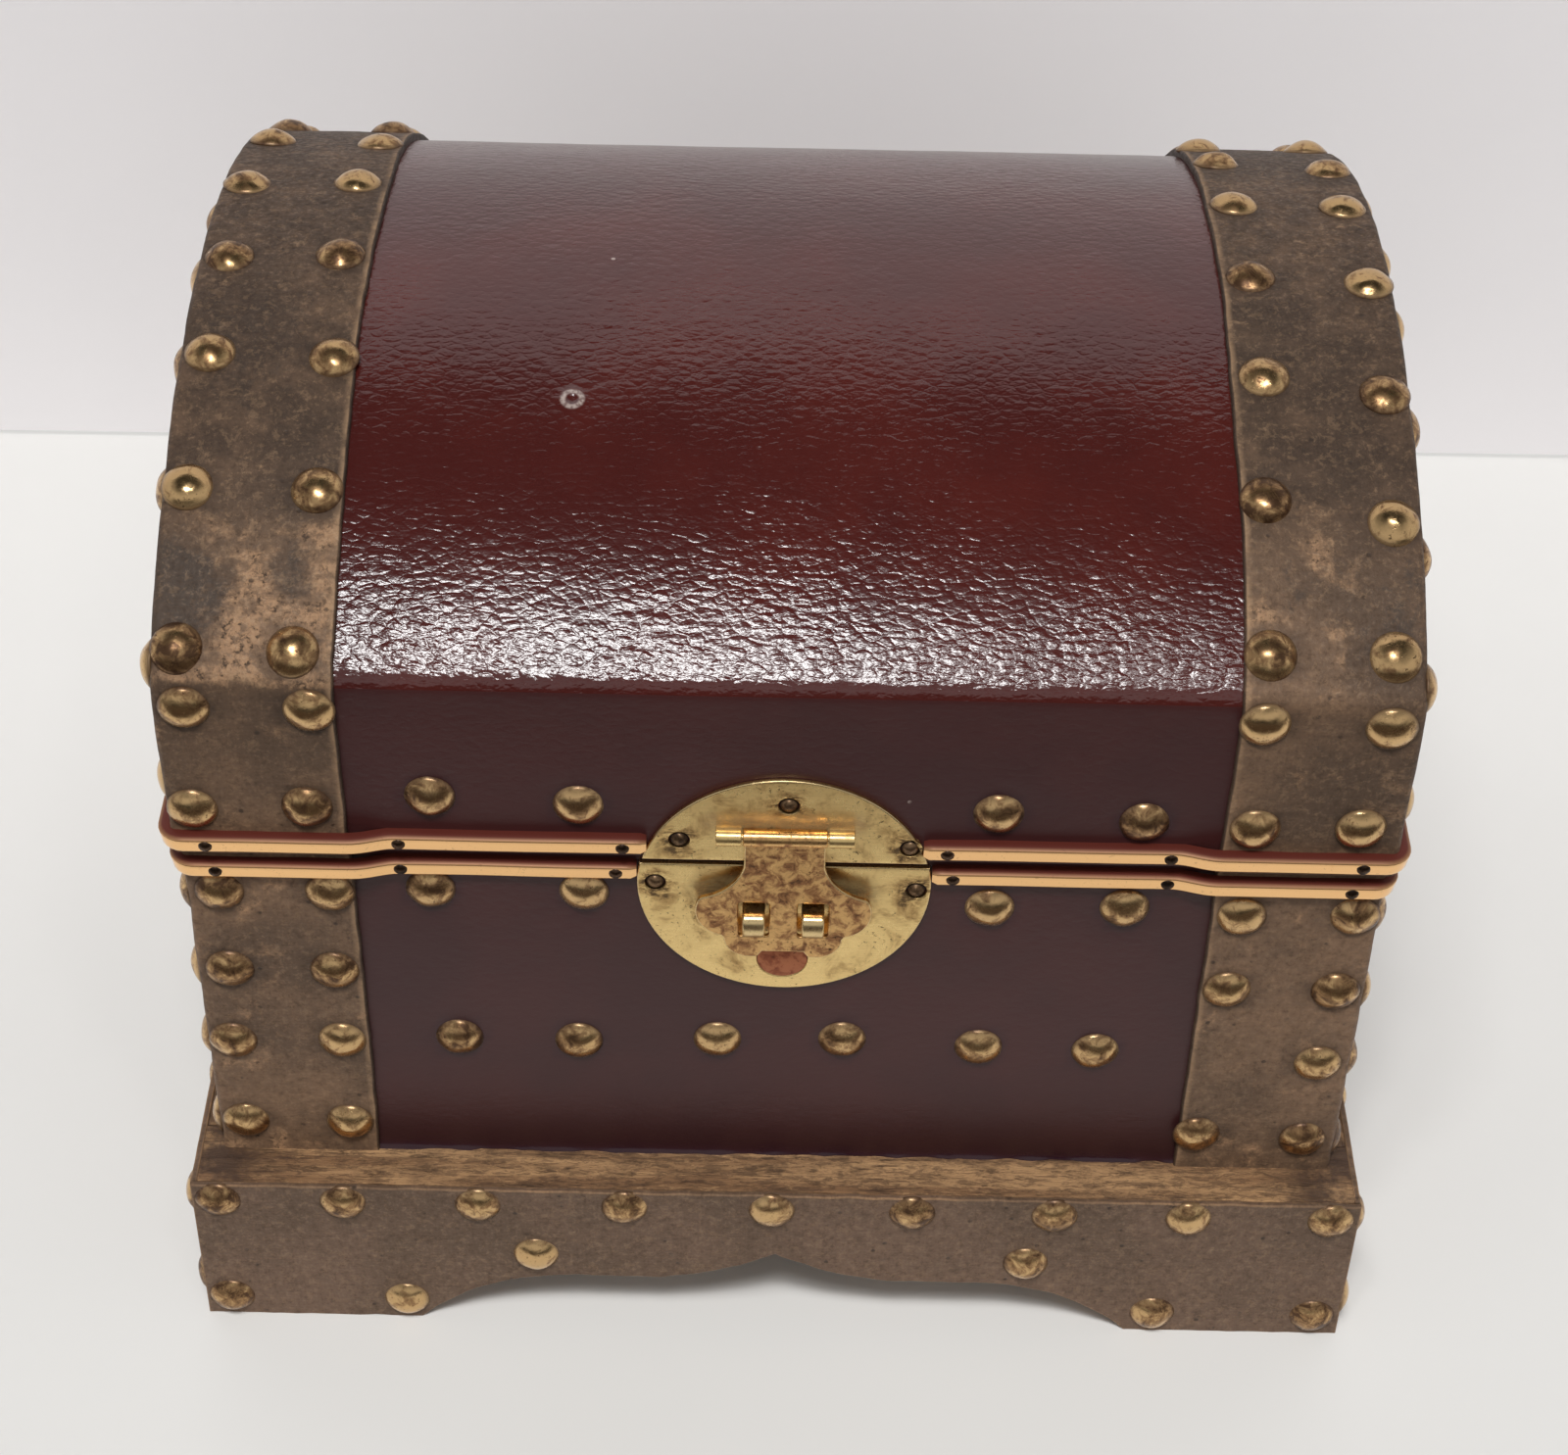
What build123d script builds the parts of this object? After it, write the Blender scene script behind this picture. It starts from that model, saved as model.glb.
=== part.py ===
"""Treasure chest box: a small dome-lidded chest on a bracket plinth, with straps, nail heads and a hasp.

Millimetres, +Z up. The origin is the centre of the footprint, on the surface that the chest stands on,
and the front, with the lock, faces -Y. Every layer is measured inwards from the outer face of the straps.
"""
from build123d import *
from math import asin, cos, degrees, radians, sin, sqrt
import os

os.makedirs("parts", exist_ok=True)

# Driving sizes of the chest
body_width = 212.0
body_depth = 173.5
plinth_height = 38.0
body_height = 79.0
rail_height = 39.0
dome_rise = 32.0
lid_side_overhang = 1.0
lid_front_overhang = 1.5
plinth_side_ledge = 5.0
plinth_back_ledge = 8.0
seam_gap = 0.4

# Layers, from the outside in
strap_thickness = 1.5
skin_thickness = 0.8
wall_thickness = 6.0
dome_thickness = 4.0
bottom_thickness = 5.0
lining_thickness = 0.8
facing_thickness = 1.2
plinth_board_thickness = 14.0

# Straps
strap_width = 30.0
lid_strap_width = 31.0
end_strap_width = 26.0

# Bracket cut of the plinth
front_foot_length = 42.0
side_foot_length = 39.5
arch_plateau = 13.4
arch_cusp = 21.0
haunch_share = 0.87
haunch_rise_share = 0.57
shoulder_share = 0.61
inner_plateau_share = 0.32
bow_share = 0.16
bow_rise_share = 0.32

# Decorative nails
stud_radius = 4.5
stud_height = 2.3
stud_shank_radius = 0.7
stud_shank_length = 6.0
side_row_drop = 3.0
nail_tip = 1.2

# Metal beading along both rims, and its pins
strip_height = 3.6
strip_thickness = 2.2
strip_setback = 1.7
strip_ramp = 8.0
strip_corner = 2.5
strip_end_gap = 0.5
rim_nail_radius = 1.2
rim_nail_height = 0.5
rim_nail_shank_radius = 0.45
rim_nail_shank_length = 6.0

# Lock
plate_radius = 26.0
plate_thickness = 1.0
plate_below_seam = 6.8
plate_seam_gap = 1.6
barrel_radius = 1.6
barrel_above_seam = 7.6
barrel_clearance = 0.15
end_knuckle_length = 4.5
centre_knuckle_length = 14.7
knuckle_gap = 0.2
lock_pin_radius = 0.75
pin_clearance = 0.05
tongue_thickness = 1.0
tongue_gap = 0.4
tongue_drop = 29.6
neck_inset = 0.35
wing_above_lugs = 1.2
wing_width = 31.3
wing_height = 10.0
wing_round = 4.8
lobe_width = 21.0
lobe_radius = 4.2
thumb_notch_radius = 5.2
slot_side_clearance = 0.75
slot_end_clearance = 2.2
slot_spacing = 10.5
lug_width = 4.0
lug_radius = 1.9
lug_hole_radius = 0.9
lug_bar_gap = 0.2
lug_below_seam = 12.7
rivet_radius = 4.5
rivet_height = 0.5
rivet_fit = 0.05
rivet_drop_share = 0.706
plate_nail_radius = 1.5
plate_nail_height = 0.7
plate_nail_shank_radius = 0.6
plate_nail_shank_length = 5.5
nail_hole_fit = 0.05

# Rear hinges
hinge_from_end = 51.0
leaf_width = 24.0
leaf_height = 15.0
leaf_thickness = 0.8
leaf_corner = 2.0
hinge_knuckle_radius = 2.0
hinge_pin_radius = 1.0
hinge_clearance = 0.15
leaf_notch_gap = 0.35
hinge_knuckle_share = 1 / 3
hinge_nail_radius = 1.7
hinge_nail_height = 0.7
hinge_nail_shank_radius = 0.6
hinge_nail_shank_length = 5.5

# Places of nails, as shares of the height, width or half width of the face that carries them.
# The hand-driven nails that face the viewer come in pairs: across and up, or across and round the dome.
strap_nail_across_shares = (0.175, 0.835)
body_strap_row_shares = (0.862, 0.616, 0.382, 0.104)
left_body_strap_nails = (
    (0.2, 0.865),
    (0.855, 0.868),
    (0.2, 0.618),
    (0.835, 0.619),
    (0.16, 0.38),
    (0.835, 0.387),
    (0.175, 0.102),
    (0.83, 0.103),
)
right_body_strap_nails = (
    (0.15, 0.857),
    (0.82, 0.849),
    (0.18, 0.616),
    (0.835, 0.613),
    (0.205, 0.372),
    (0.21, 0.106),
    (0.885, 0.117),
)
body_top_row_share = 0.868
body_mid_row_share = 0.388
front_top_nails = ((-0.592, 0.868), (-0.335, 0.868), (0.346, 0.843), (0.573, 0.851))
front_mid_nails = (
    (-0.561, 0.387),
    (-0.352, 0.382),
    (-0.109, 0.395),
    (0.108, 0.403),
    (0.347, 0.386),
    (0.553, 0.38),
)
back_mid_nail_shares = (-0.55, -0.33, -0.11, 0.11, 0.33, 0.55)
side_nail_shares = (-0.5, -0.3, -0.1, 0.1, 0.3, 0.5)
plinth_top_row_share = 0.89
plinth_mid_row_share = 0.52
plinth_low_row_share = 0.145
plinth_top_nail_shares = (-0.955, -0.741, -0.51, -0.259, -0.008, 0.233, 0.478, 0.708, 0.952)
plinth_mid_nail_shares = (-0.414, 0.437)
plinth_low_nail_shares = (-0.955, -0.647, 0.668, 0.95)
plinth_side_top_shares = (-0.94, -0.63, -0.315, 0.0, 0.315, 0.63, 0.94)
plinth_side_top_row_share = 0.81
plinth_side_low_row_share = 0.22
rail_low_row_share = 0.28
rail_high_row_share = 0.87
left_rail_strap_nails = ((0.15, 0.268), (0.789, 0.294), (0.18, 0.858), (0.857, 0.856))
right_rail_strap_nails = ((0.248, 0.286), (0.835, 0.273), (0.182, 0.875), (0.87, 0.885))
front_rail_nails = ((-0.575, 0.338), (-0.335, 0.303), (0.344, 0.301), (0.581, 0.267))
back_rail_nail_shares = (-0.78, 0.0, 0.78)
end_rail_row_shares = (0.34, 0.98)
left_dome_nails = (
    (0.15, -0.938),
    (0.775, -0.94),
    (0.14, -0.633),
    (0.85, -0.634),
    (0.17, -0.337),
    (0.865, -0.343),
    (0.174, -0.071),
    (0.813, -0.057),
    (0.156, 0.214),
    (0.813, 0.23),
    (0.176, 0.51),
    (0.85, 0.497),
    (0.17, 0.755),
    (0.84, 0.755),
    (0.17, 0.94),
    (0.84, 0.94),
)
right_dome_nails = (
    (0.18, -0.91),
    (0.857, -0.911),
    (0.16, -0.656),
    (0.856, -0.616),
    (0.145, -0.379),
    (0.816, -0.343),
    (0.14, -0.081),
    (0.821, -0.068),
    (0.177, 0.207),
    (0.828, 0.21),
    (0.17, 0.429),
    (0.843, 0.478),
    (0.17, 0.72),
    (0.87, 0.697),
    (0.17, 0.94),
    (0.84, 0.94),
)
end_nail_angle_shares = (-0.7, -0.42, -0.15, 0.07, 0.32, 0.61)
rim_nail_shares = (0.04, 0.515, 0.921)
rim_side_nail_shares = (-0.8, -0.27, 0.27, 0.8)
upper_plate_nail_shares = ((0.02, 0.775), (-0.71, 0.45), (0.84, 0.41))
lower_plate_nail_shares = ((-0.875, 0.0), (0.9, -0.035))
hinge_nail_across_shares = (-0.62, 0.0, 0.62)
hinge_nail_up_shares = (0.55, 0.72, 0.55)

# Derived sizes
lid_width = body_width + 2 * lid_side_overhang
lid_depth = body_depth + lid_front_overhang
plinth_width = body_width + 2 * plinth_side_ledge
plinth_depth = lid_depth + 2 * plinth_back_ledge
seam_z = plinth_height + body_height
crease_z = seam_z + rail_height
dome_top_z = crease_z + dome_rise
arch_half_front = plinth_width / 2 - front_foot_length
arch_half_side = plinth_depth / 2 - side_foot_length
hinge_middle = body_width / 2 - hinge_from_end
body_shift = lid_front_overhang / 2
body_rim_z = seam_z - seam_gap / 2
lid_rim_z = seam_z + seam_gap / 2
board_inset = strap_thickness + skin_thickness
wall_inset = board_inset + wall_thickness
floor_z = plinth_height + bottom_thickness
half_lid_depth = lid_depth / 2
dome_radius = (half_lid_depth**2 + dome_rise**2) / (2 * dome_rise)
dome_centre_z = dome_top_z - dome_radius
dome_edge_angle = degrees(asin(half_lid_depth / dome_radius))
body_front_y = body_depth / 2 - body_shift
body_cover_y = body_front_y - strap_thickness
lid_cover_y = half_lid_depth - strap_thickness
plate_z = seam_z - plate_below_seam
barrel_z = seam_z + barrel_above_seam
barrel_y = lid_cover_y + plate_thickness + barrel_radius + barrel_clearance
tongue_back_y = lid_cover_y + plate_thickness + tongue_gap
tongue_front_y = tongue_back_y + tongue_thickness
lug_z = seam_z - lug_below_seam
lug_y = tongue_front_y + lug_bar_gap + lug_hole_radius
rivet_z = plate_z - plate_radius * rivet_drop_share
neck_width = centre_knuckle_length - 2 * neck_inset
slot_width = lug_width + 2 * slot_side_clearance
slot_height = 2 * (lug_radius + slot_end_clearance)
hinge_y = lid_cover_y + hinge_knuckle_radius + hinge_clearance
back_free_half = hinge_middle - leaf_width / 2 - stud_radius


def finish(builder, name):
    """Label a finished piece and write it."""
    builder.part.label = name
    export_step(builder.part, f"parts/{name}.step")


def front_plane(distance):
    """Plane on the front: X to the right, Z up, normal towards the viewer."""
    return Plane.XZ.offset(distance)


def back_plane(distance):
    """Plane on the back, seen from behind."""
    return Plane(origin=(0, distance, 0), x_dir=(-1, 0, 0), z_dir=(0, 1, 0))


def left_plane(distance):
    """Plane on the left end, seen from the left."""
    return Plane(origin=(-distance, 0, 0), x_dir=(0, -1, 0), z_dir=(-1, 0, 0))


def right_plane(distance):
    """Plane on the right end, seen from the right."""
    return Plane(origin=(distance, 0, 0), x_dir=(0, 1, 0), z_dir=(1, 0, 0))


def nail(head_radius, head_height, shank_radius, shank_length):
    """A domed nail with its head's rim on the origin plane and its shank going down."""
    sphere_radius = (head_radius**2 + head_height**2) / (2 * head_height)
    half_angle = asin(head_radius / sphere_radius) / 2
    middle_z = head_height - sphere_radius * (1 - cos(half_angle))
    middle = (sphere_radius * sin(half_angle), middle_z)
    with BuildPart() as one:
        with BuildSketch(Plane.XZ):
            with BuildLine():
                ThreePointArc((0, head_height), middle, (head_radius, 0))
                Polyline(
                    (head_radius, 0),
                    (shank_radius, 0),
                    (shank_radius, nail_tip - shank_length),
                    (0, -shank_length),
                    (0, head_height),
                )
            make_face()
        revolve(axis=Axis.Z)
    return one.part


stud = nail(stud_radius, stud_height, stud_shank_radius, stud_shank_length)
rim_nail = nail(rim_nail_radius, rim_nail_height, rim_nail_shank_radius, rim_nail_shank_length)
plate_nail = nail(plate_nail_radius, plate_nail_height, plate_nail_shank_radius, plate_nail_shank_length)
hinge_nail = nail(hinge_nail_radius, hinge_nail_height, hinge_nail_shank_radius, hinge_nail_shank_length)


def set_nails(name, kind, places):
    """Write one node that holds the same nail at many places, each a separate solid."""
    with BuildPart() as group:
        with Locations(*places):
            add(kind)
    finish(group, name)


def on_plane(plane, points):
    """Places on a flat face, from points in that face's own axes."""
    return [plane * Location((x, z, 0)) for x, z in points]


def on_dome(x, layer, angle_share):
    """A place on the dome, its outward direction square to the surface."""
    angle = radians(dome_edge_angle * angle_share)
    radius = dome_radius - layer
    origin = (x, radius * sin(angle), dome_centre_z + radius * cos(angle))
    return Plane(origin=origin, x_dir=(1, 0, 0), z_dir=(0, sin(angle), cos(angle))).location


# Plinth: four boards with a bracket cut, and a thin brown facing on each
def draw_bracket(half_length, arch_half):
    """A board's face with the cupid's-bow cut along its lower edge."""
    haunch = (arch_half * haunch_share, arch_plateau * haunch_rise_share)
    shoulder = arch_half * shoulder_share
    plateau_end = arch_half * inner_plateau_share
    bow = (arch_half * bow_share, arch_plateau + (arch_cusp - arch_plateau) * bow_rise_share)
    with BuildLine() as outline:
        for side in (-1, 1):
            foot_edge = (side * arch_half, 0)
            plateau_start = (side * shoulder, arch_plateau)
            plateau_stop = (side * plateau_end, arch_plateau)
            ThreePointArc(foot_edge, (side * haunch[0], haunch[1]), plateau_start)
            Line(plateau_start, plateau_stop)
            ThreePointArc(plateau_stop, (side * bow[0], bow[1]), (0, arch_cusp))
            Polyline(
                (side * arch_half, 0),
                (side * half_length, 0),
                (side * half_length, plinth_height),
                (0, plinth_height),
            )
    make_face(outline.edges())


plinth_half_width = plinth_width / 2
plinth_half_depth = plinth_depth / 2
plinth_core_half_width = plinth_half_width - facing_thickness
plinth_core_half_depth = plinth_half_depth - facing_thickness
plinth_side_half = plinth_core_half_depth - plinth_board_thickness

for side_name, plane_at in (("front", front_plane), ("back", back_plane)):
    with BuildPart() as plinth_board:
        with BuildSketch(plane_at(plinth_core_half_depth)):
            draw_bracket(plinth_core_half_width, arch_half_front)
        extrude(amount=-plinth_board_thickness)
    finish(plinth_board, f"plinth_board_{side_name}")
    with BuildPart() as facing:
        with BuildSketch(plane_at(plinth_core_half_depth)):
            draw_bracket(plinth_half_width, arch_half_front)
        extrude(amount=facing_thickness)
    finish(facing, f"plinth_facing_{side_name}")

for side_name, plane_at in (("left", left_plane), ("right", right_plane)):
    with BuildPart() as plinth_board:
        with BuildSketch(plane_at(plinth_core_half_width)):
            draw_bracket(plinth_side_half, arch_half_side)
        extrude(amount=-plinth_board_thickness)
    finish(plinth_board, f"plinth_board_{side_name}")
    with BuildPart() as facing:
        with BuildSketch(plane_at(plinth_core_half_width)):
            draw_bracket(plinth_core_half_depth, arch_half_side)
        extrude(amount=facing_thickness)
    finish(facing, f"plinth_facing_{side_name}")


# Body: bottom board, four walls, a leatherette wrap, four corner straps and a lining
def draw_body_outline(inset, mode=Mode.ADD):
    """The body's plan outline, drawn in from the outer face of its straps."""
    with Locations((0, body_shift)):
        Rectangle(body_width - 2 * inset, body_depth - 2 * inset, mode=mode)


with BuildPart() as bottom_board:
    with BuildSketch(Plane.XY.offset(plinth_height)):
        draw_body_outline(board_inset)
    extrude(amount=bottom_thickness)
finish(bottom_board, "bottom_board")

body_board_half_width = body_width / 2 - board_inset
body_board_front = -body_depth / 2 + body_shift + board_inset
body_board_back = body_depth / 2 + body_shift - board_inset
body_wall_height = body_rim_z - floor_z

for side_name, face_y, inwards in (("front", body_board_front, 1), ("back", body_board_back, -1)):
    with BuildPart() as wall:
        with BuildSketch(Plane.XY.offset(floor_z)):
            with Locations((0, face_y + inwards * wall_thickness / 2)):
                Rectangle(2 * body_board_half_width, wall_thickness)
        extrude(amount=body_wall_height)
    finish(wall, f"body_board_{side_name}")

for side_name, side in (("left", -1), ("right", 1)):
    with BuildPart() as wall:
        with BuildSketch(Plane.XY.offset(floor_z)):
            with Locations((side * (body_board_half_width - wall_thickness / 2), body_shift)):
                Rectangle(wall_thickness, body_depth - 2 * wall_inset)
        extrude(amount=body_wall_height)
    finish(wall, f"body_board_{side_name}")

with BuildPart() as body_cover:
    with BuildSketch(Plane.XY.offset(plinth_height)):
        draw_body_outline(strap_thickness)
        draw_body_outline(board_inset, mode=Mode.SUBTRACT)
    extrude(amount=body_rim_z - plinth_height)
finish(body_cover, "body_cover")

for end_name, end in (("front", -1), ("back", 1)):
    for side_name, side in (("left", -1), ("right", 1)):
        corner = (side * body_width / 2, end * body_depth / 2 + body_shift)
        with BuildPart() as strap:
            with BuildSketch(Plane.XY.offset(plinth_height)):
                with Locations((corner[0] - side * strap_width / 2, corner[1] - end * strap_width / 2)):
                    Rectangle(strap_width, strap_width)
                draw_body_outline(strap_thickness, mode=Mode.SUBTRACT)
            extrude(amount=body_rim_z - plinth_height)
        finish(strap, f"body_strap_{end_name}_{side_name}")

with BuildPart() as body_lining:
    with BuildSketch(Plane.XY.offset(floor_z)):
        draw_body_outline(wall_inset)
    extrude(amount=body_wall_height)
    with BuildSketch(Plane.XY.offset(floor_z + lining_thickness)):
        draw_body_outline(wall_inset + lining_thickness)
    extrude(amount=body_wall_height, mode=Mode.SUBTRACT)
finish(body_lining, "body_lining")


# Lid: two arched ends, two rails and a bent dome board, under a leatherette sheet and straps
def draw_lid_outline(inset, mode=Mode.ADD):
    """The lid seen from its end, drawn in from the outer face of its straps."""
    half = half_lid_depth - inset
    radius = dome_radius - inset
    fold_z = dome_centre_z + sqrt(radius**2 - half**2)
    with BuildLine() as outline:
        ThreePointArc((-half, fold_z), (0, dome_centre_z + radius), (half, fold_z))
        Polyline((half, fold_z), (half, lid_rim_z), (-half, lid_rim_z), (-half, fold_z))
    make_face(outline.edges(), mode=mode)


def draw_lid_inside(half, inset):
    """The space under the dome between two upright faces."""
    with Locations((0, (lid_rim_z + dome_top_z) / 2)):
        Rectangle(2 * half, dome_top_z - lid_rim_z)
    with Locations((0, dome_centre_z)):
        Circle(dome_radius - inset, mode=Mode.INTERSECT)


lid_half_width = lid_width / 2
lid_cover_half_width = lid_half_width - strap_thickness
lid_board_half_width = lid_half_width - board_inset
lid_inner_half_width = lid_board_half_width - wall_thickness
lid_inner_half_depth = half_lid_depth - wall_inset
under_dome_inset = board_inset + dome_thickness

for side_name, plane_at in (("left", left_plane), ("right", right_plane)):
    with BuildPart() as lid_end:
        with BuildSketch(plane_at(lid_board_half_width)):
            draw_lid_inside(lid_inner_half_depth, under_dome_inset)
        extrude(amount=-wall_thickness)
    finish(lid_end, f"lid_end_{side_name}")

for side_name, side in (("front", -1), ("back", 1)):
    with BuildPart() as lid_rail:
        with BuildSketch(Plane.YZ.offset(-lid_board_half_width)):
            middle_y = side * (half_lid_depth - board_inset - wall_thickness / 2)
            with Locations((middle_y, (lid_rim_z + dome_top_z) / 2)):
                Rectangle(wall_thickness, dome_top_z - lid_rim_z)
            with Locations((0, dome_centre_z)):
                Circle(dome_radius - under_dome_inset, mode=Mode.INTERSECT)
        extrude(amount=2 * lid_board_half_width)
    finish(lid_rail, f"lid_rail_{side_name}")

with BuildPart() as lid_dome:
    with BuildSketch(Plane.YZ.offset(-lid_board_half_width)):
        draw_lid_outline(board_inset)
        with Locations((0, dome_centre_z)):
            Circle(dome_radius - under_dome_inset, mode=Mode.SUBTRACT)
    extrude(amount=2 * lid_board_half_width)
finish(lid_dome, "lid_dome")

with BuildPart() as lid_cover:
    with BuildSketch(Plane.YZ.offset(-lid_cover_half_width)):
        draw_lid_outline(strap_thickness)
        draw_lid_outline(board_inset, mode=Mode.SUBTRACT)
    extrude(amount=2 * lid_cover_half_width)
finish(lid_cover, "lid_cover")

for side_name, plane_at in (("left", left_plane), ("right", right_plane)):
    with BuildPart() as end_cover:
        with BuildSketch(plane_at(lid_board_half_width)):
            draw_lid_outline(board_inset)
        extrude(amount=skin_thickness)
    finish(end_cover, f"lid_end_cover_{side_name}")
    with BuildPart() as lid_strap:
        with BuildSketch(plane_at(lid_half_width)):
            draw_lid_outline(0)
            draw_lid_outline(strap_thickness, mode=Mode.SUBTRACT)
        extrude(amount=-lid_strap_width)
    finish(lid_strap, f"lid_strap_{side_name}")
    with BuildPart() as end_strap:
        with BuildSketch(plane_at(lid_cover_half_width)):
            draw_lid_outline(strap_thickness)
            draw_lid_outline(end_strap_width, mode=Mode.SUBTRACT)
        extrude(amount=strap_thickness)
    finish(end_strap, f"lid_end_strap_{side_name}")

with BuildPart() as lid_lining:
    with BuildSketch(Plane.YZ.offset(-lid_inner_half_width)):
        draw_lid_inside(lid_inner_half_depth, under_dome_inset)
    extrude(amount=2 * lid_inner_half_width)
    with BuildSketch(Plane.YZ.offset(-lid_inner_half_width + lining_thickness)):
        draw_lid_inside(lid_inner_half_depth - lining_thickness, under_dome_inset + lining_thickness)
    extrude(amount=2 * (lid_inner_half_width - lining_thickness), mode=Mode.SUBTRACT)
finish(lid_lining, "lid_lining")


# Beading: a metal strip along each rim, from the lock plate round the end to the back corner
def clear_of_plate(strip_z):
    """Distance from the middle at which a strip at this height starts, just clear of the round plate."""
    widest_z = min(max(plate_z, strip_z), strip_z + strip_height)
    return sqrt(plate_radius**2 - (widest_z - plate_z) ** 2) + strip_end_gap


def draw_strip(side, start, half_width, front_y, back_y, strap_across):
    """Plan of one strip. It steps out over the straps with a short ramp on each side of them."""
    strap_edge = half_width - strap_across
    step = strap_thickness
    inner = [
        (start, front_y + step),
        (strap_edge - strip_ramp, front_y + step),
        (strap_edge, front_y),
        (half_width, front_y),
        (half_width, front_y + strap_across),
        (half_width - step, front_y + strap_across + strip_ramp),
        (half_width - step, back_y - strap_across - strip_ramp),
        (half_width, back_y - strap_across),
        (half_width, back_y),
    ]
    front_count = 3
    outer = [(x, y - strip_thickness) for x, y in inner[:front_count]]
    outer.append((half_width + strip_thickness, front_y - strip_thickness))
    outer += [(x + strip_thickness, y) for x, y in inner[front_count + 1:]]
    ring = inner + outer[::-1]
    with BuildLine() as outline:
        Polyline(*[(side * x, y) for x, y in ring], close=True)
    make_face(outline.edges())


strip_sets = (
    ("body", body_rim_z - strip_setback - strip_height, body_width / 2, -body_front_y, strap_width),
    ("lid", lid_rim_z + strip_setback, lid_half_width, -half_lid_depth, lid_strap_width),
)
for owner, strip_z, half_width, front_y, strap_across in strip_sets:
    for side_name, side in (("left", -1), ("right", 1)):
        with BuildPart() as strip:
            with BuildSketch(Plane.XY.offset(strip_z)):
                start = clear_of_plate(strip_z)
                draw_strip(side, start, half_width, front_y, half_lid_depth, strap_across)
            extrude(amount=strip_height)
            upright = strip.edges().filter_by(Axis.Z)
            fillet(upright.sort_by(lambda edge: side * edge.center().X - edge.center().Y)[-1], strip_corner)
        finish(strip, f"{owner}_rim_strip_{side_name}")

for owner, strip_z, half_width, front_y, strap_across in strip_sets:
    nail_z = strip_z + strip_height / 2
    start = clear_of_plate(strip_z)
    places = []
    for share in rim_nail_shares:
        across = start + share * (half_width - start)
        over_strap = across > half_width - strap_across - strip_ramp
        face = -front_y + strip_thickness - (0 if over_strap else strap_thickness)
        for side in (-1, 1):
            places += on_plane(front_plane(face), [(side * across, nail_z)])
    for share in rim_side_nail_shares:
        over_strap = abs(share) * half_lid_depth > half_lid_depth - strap_across - strip_ramp
        face = half_width + strip_thickness - (0 if over_strap else strap_thickness)
        for plane_at in (left_plane, right_plane):
            places += on_plane(plane_at(face), [(share * half_lid_depth, nail_z)])
    set_nails(f"{owner}_rim_nails", rim_nail, places)


# Studs of the body and the plinth
def up_body(share):
    """Height of a row on the body, from its share of the height between ledge and rim."""
    return plinth_height + share * (seam_z - plinth_height)


def strap_columns(half_width, width):
    """Distances from the middle of a face to the two nail columns on its edge strap."""
    return [half_width - width * share for share in strap_nail_across_shares]


front_strap_face = front_plane(body_front_y)
front_skin_face = front_plane(body_cover_y)
back_strap_face = back_plane(half_lid_depth)
back_skin_face = back_plane(half_lid_depth - strap_thickness)
half_body_width = body_width / 2
body_columns = strap_columns(half_body_width, strap_width)

front_places = []
for side, strap_nails in ((-1, left_body_strap_nails), (1, right_body_strap_nails)):
    points = [(side * (half_body_width - x * strap_width), up_body(up)) for x, up in strap_nails]
    front_places += on_plane(front_strap_face, points)
points = [(x * half_body_width, up_body(up)) for x, up in front_top_nails + front_mid_nails]
front_places += on_plane(front_skin_face, points)
set_nails("body_studs_front", stud, front_places)

back_places = []
for row_share in body_strap_row_shares:
    for across in body_columns:
        back_places += on_plane(back_strap_face, [(side * across, up_body(row_share)) for side in (-1, 1)])
for share in back_mid_nail_shares:
    back_places += on_plane(back_skin_face, [(share * half_body_width, up_body(body_mid_row_share))])
set_nails("body_studs_back", stud, back_places)

side_places = []
side_columns = strap_columns(body_depth / 2, strap_width)
for plane_at, shift in ((left_plane, -body_shift), (right_plane, body_shift)):
    for row_share in body_strap_row_shares:
        for across in side_columns:
            row_z = up_body(row_share) - side_row_drop
            points = [(side * across + shift, row_z) for side in (-1, 1)]
            side_places += on_plane(plane_at(half_body_width), points)
    for row_share in (body_top_row_share, body_mid_row_share):
        points = [(share * body_depth / 2 + shift, up_body(row_share)) for share in side_nail_shares]
        side_places += on_plane(plane_at(half_body_width - strap_thickness), points)
set_nails("body_studs_sides", stud, side_places)

plinth_places = []
long_side_rows = (
    (plinth_top_row_share, plinth_top_nail_shares),
    (plinth_mid_row_share, plinth_mid_nail_shares),
    (plinth_low_row_share, plinth_low_nail_shares),
)
short_side_rows = (
    (plinth_side_top_row_share, plinth_side_top_shares),
    (plinth_mid_row_share, plinth_mid_nail_shares),
    (plinth_side_low_row_share, plinth_low_nail_shares),
)
plinth_sides = (
    ((front_plane, back_plane), plinth_half_width, plinth_half_depth, long_side_rows),
    ((left_plane, right_plane), plinth_half_depth, plinth_half_width, short_side_rows),
)
for planes, half_length, distance, rows in plinth_sides:
    for plane_at in planes:
        for row_share, nail_shares in rows:
            row_z = plinth_height * row_share
            plinth_places += on_plane(plane_at(distance), [(x * half_length, row_z) for x in nail_shares])
set_nails("plinth_studs", stud, plinth_places)


# Studs of the lid
def up_rail(share):
    """Height of a row on the lid's upright rail."""
    return seam_z + share * (crease_z - seam_z)


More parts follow.
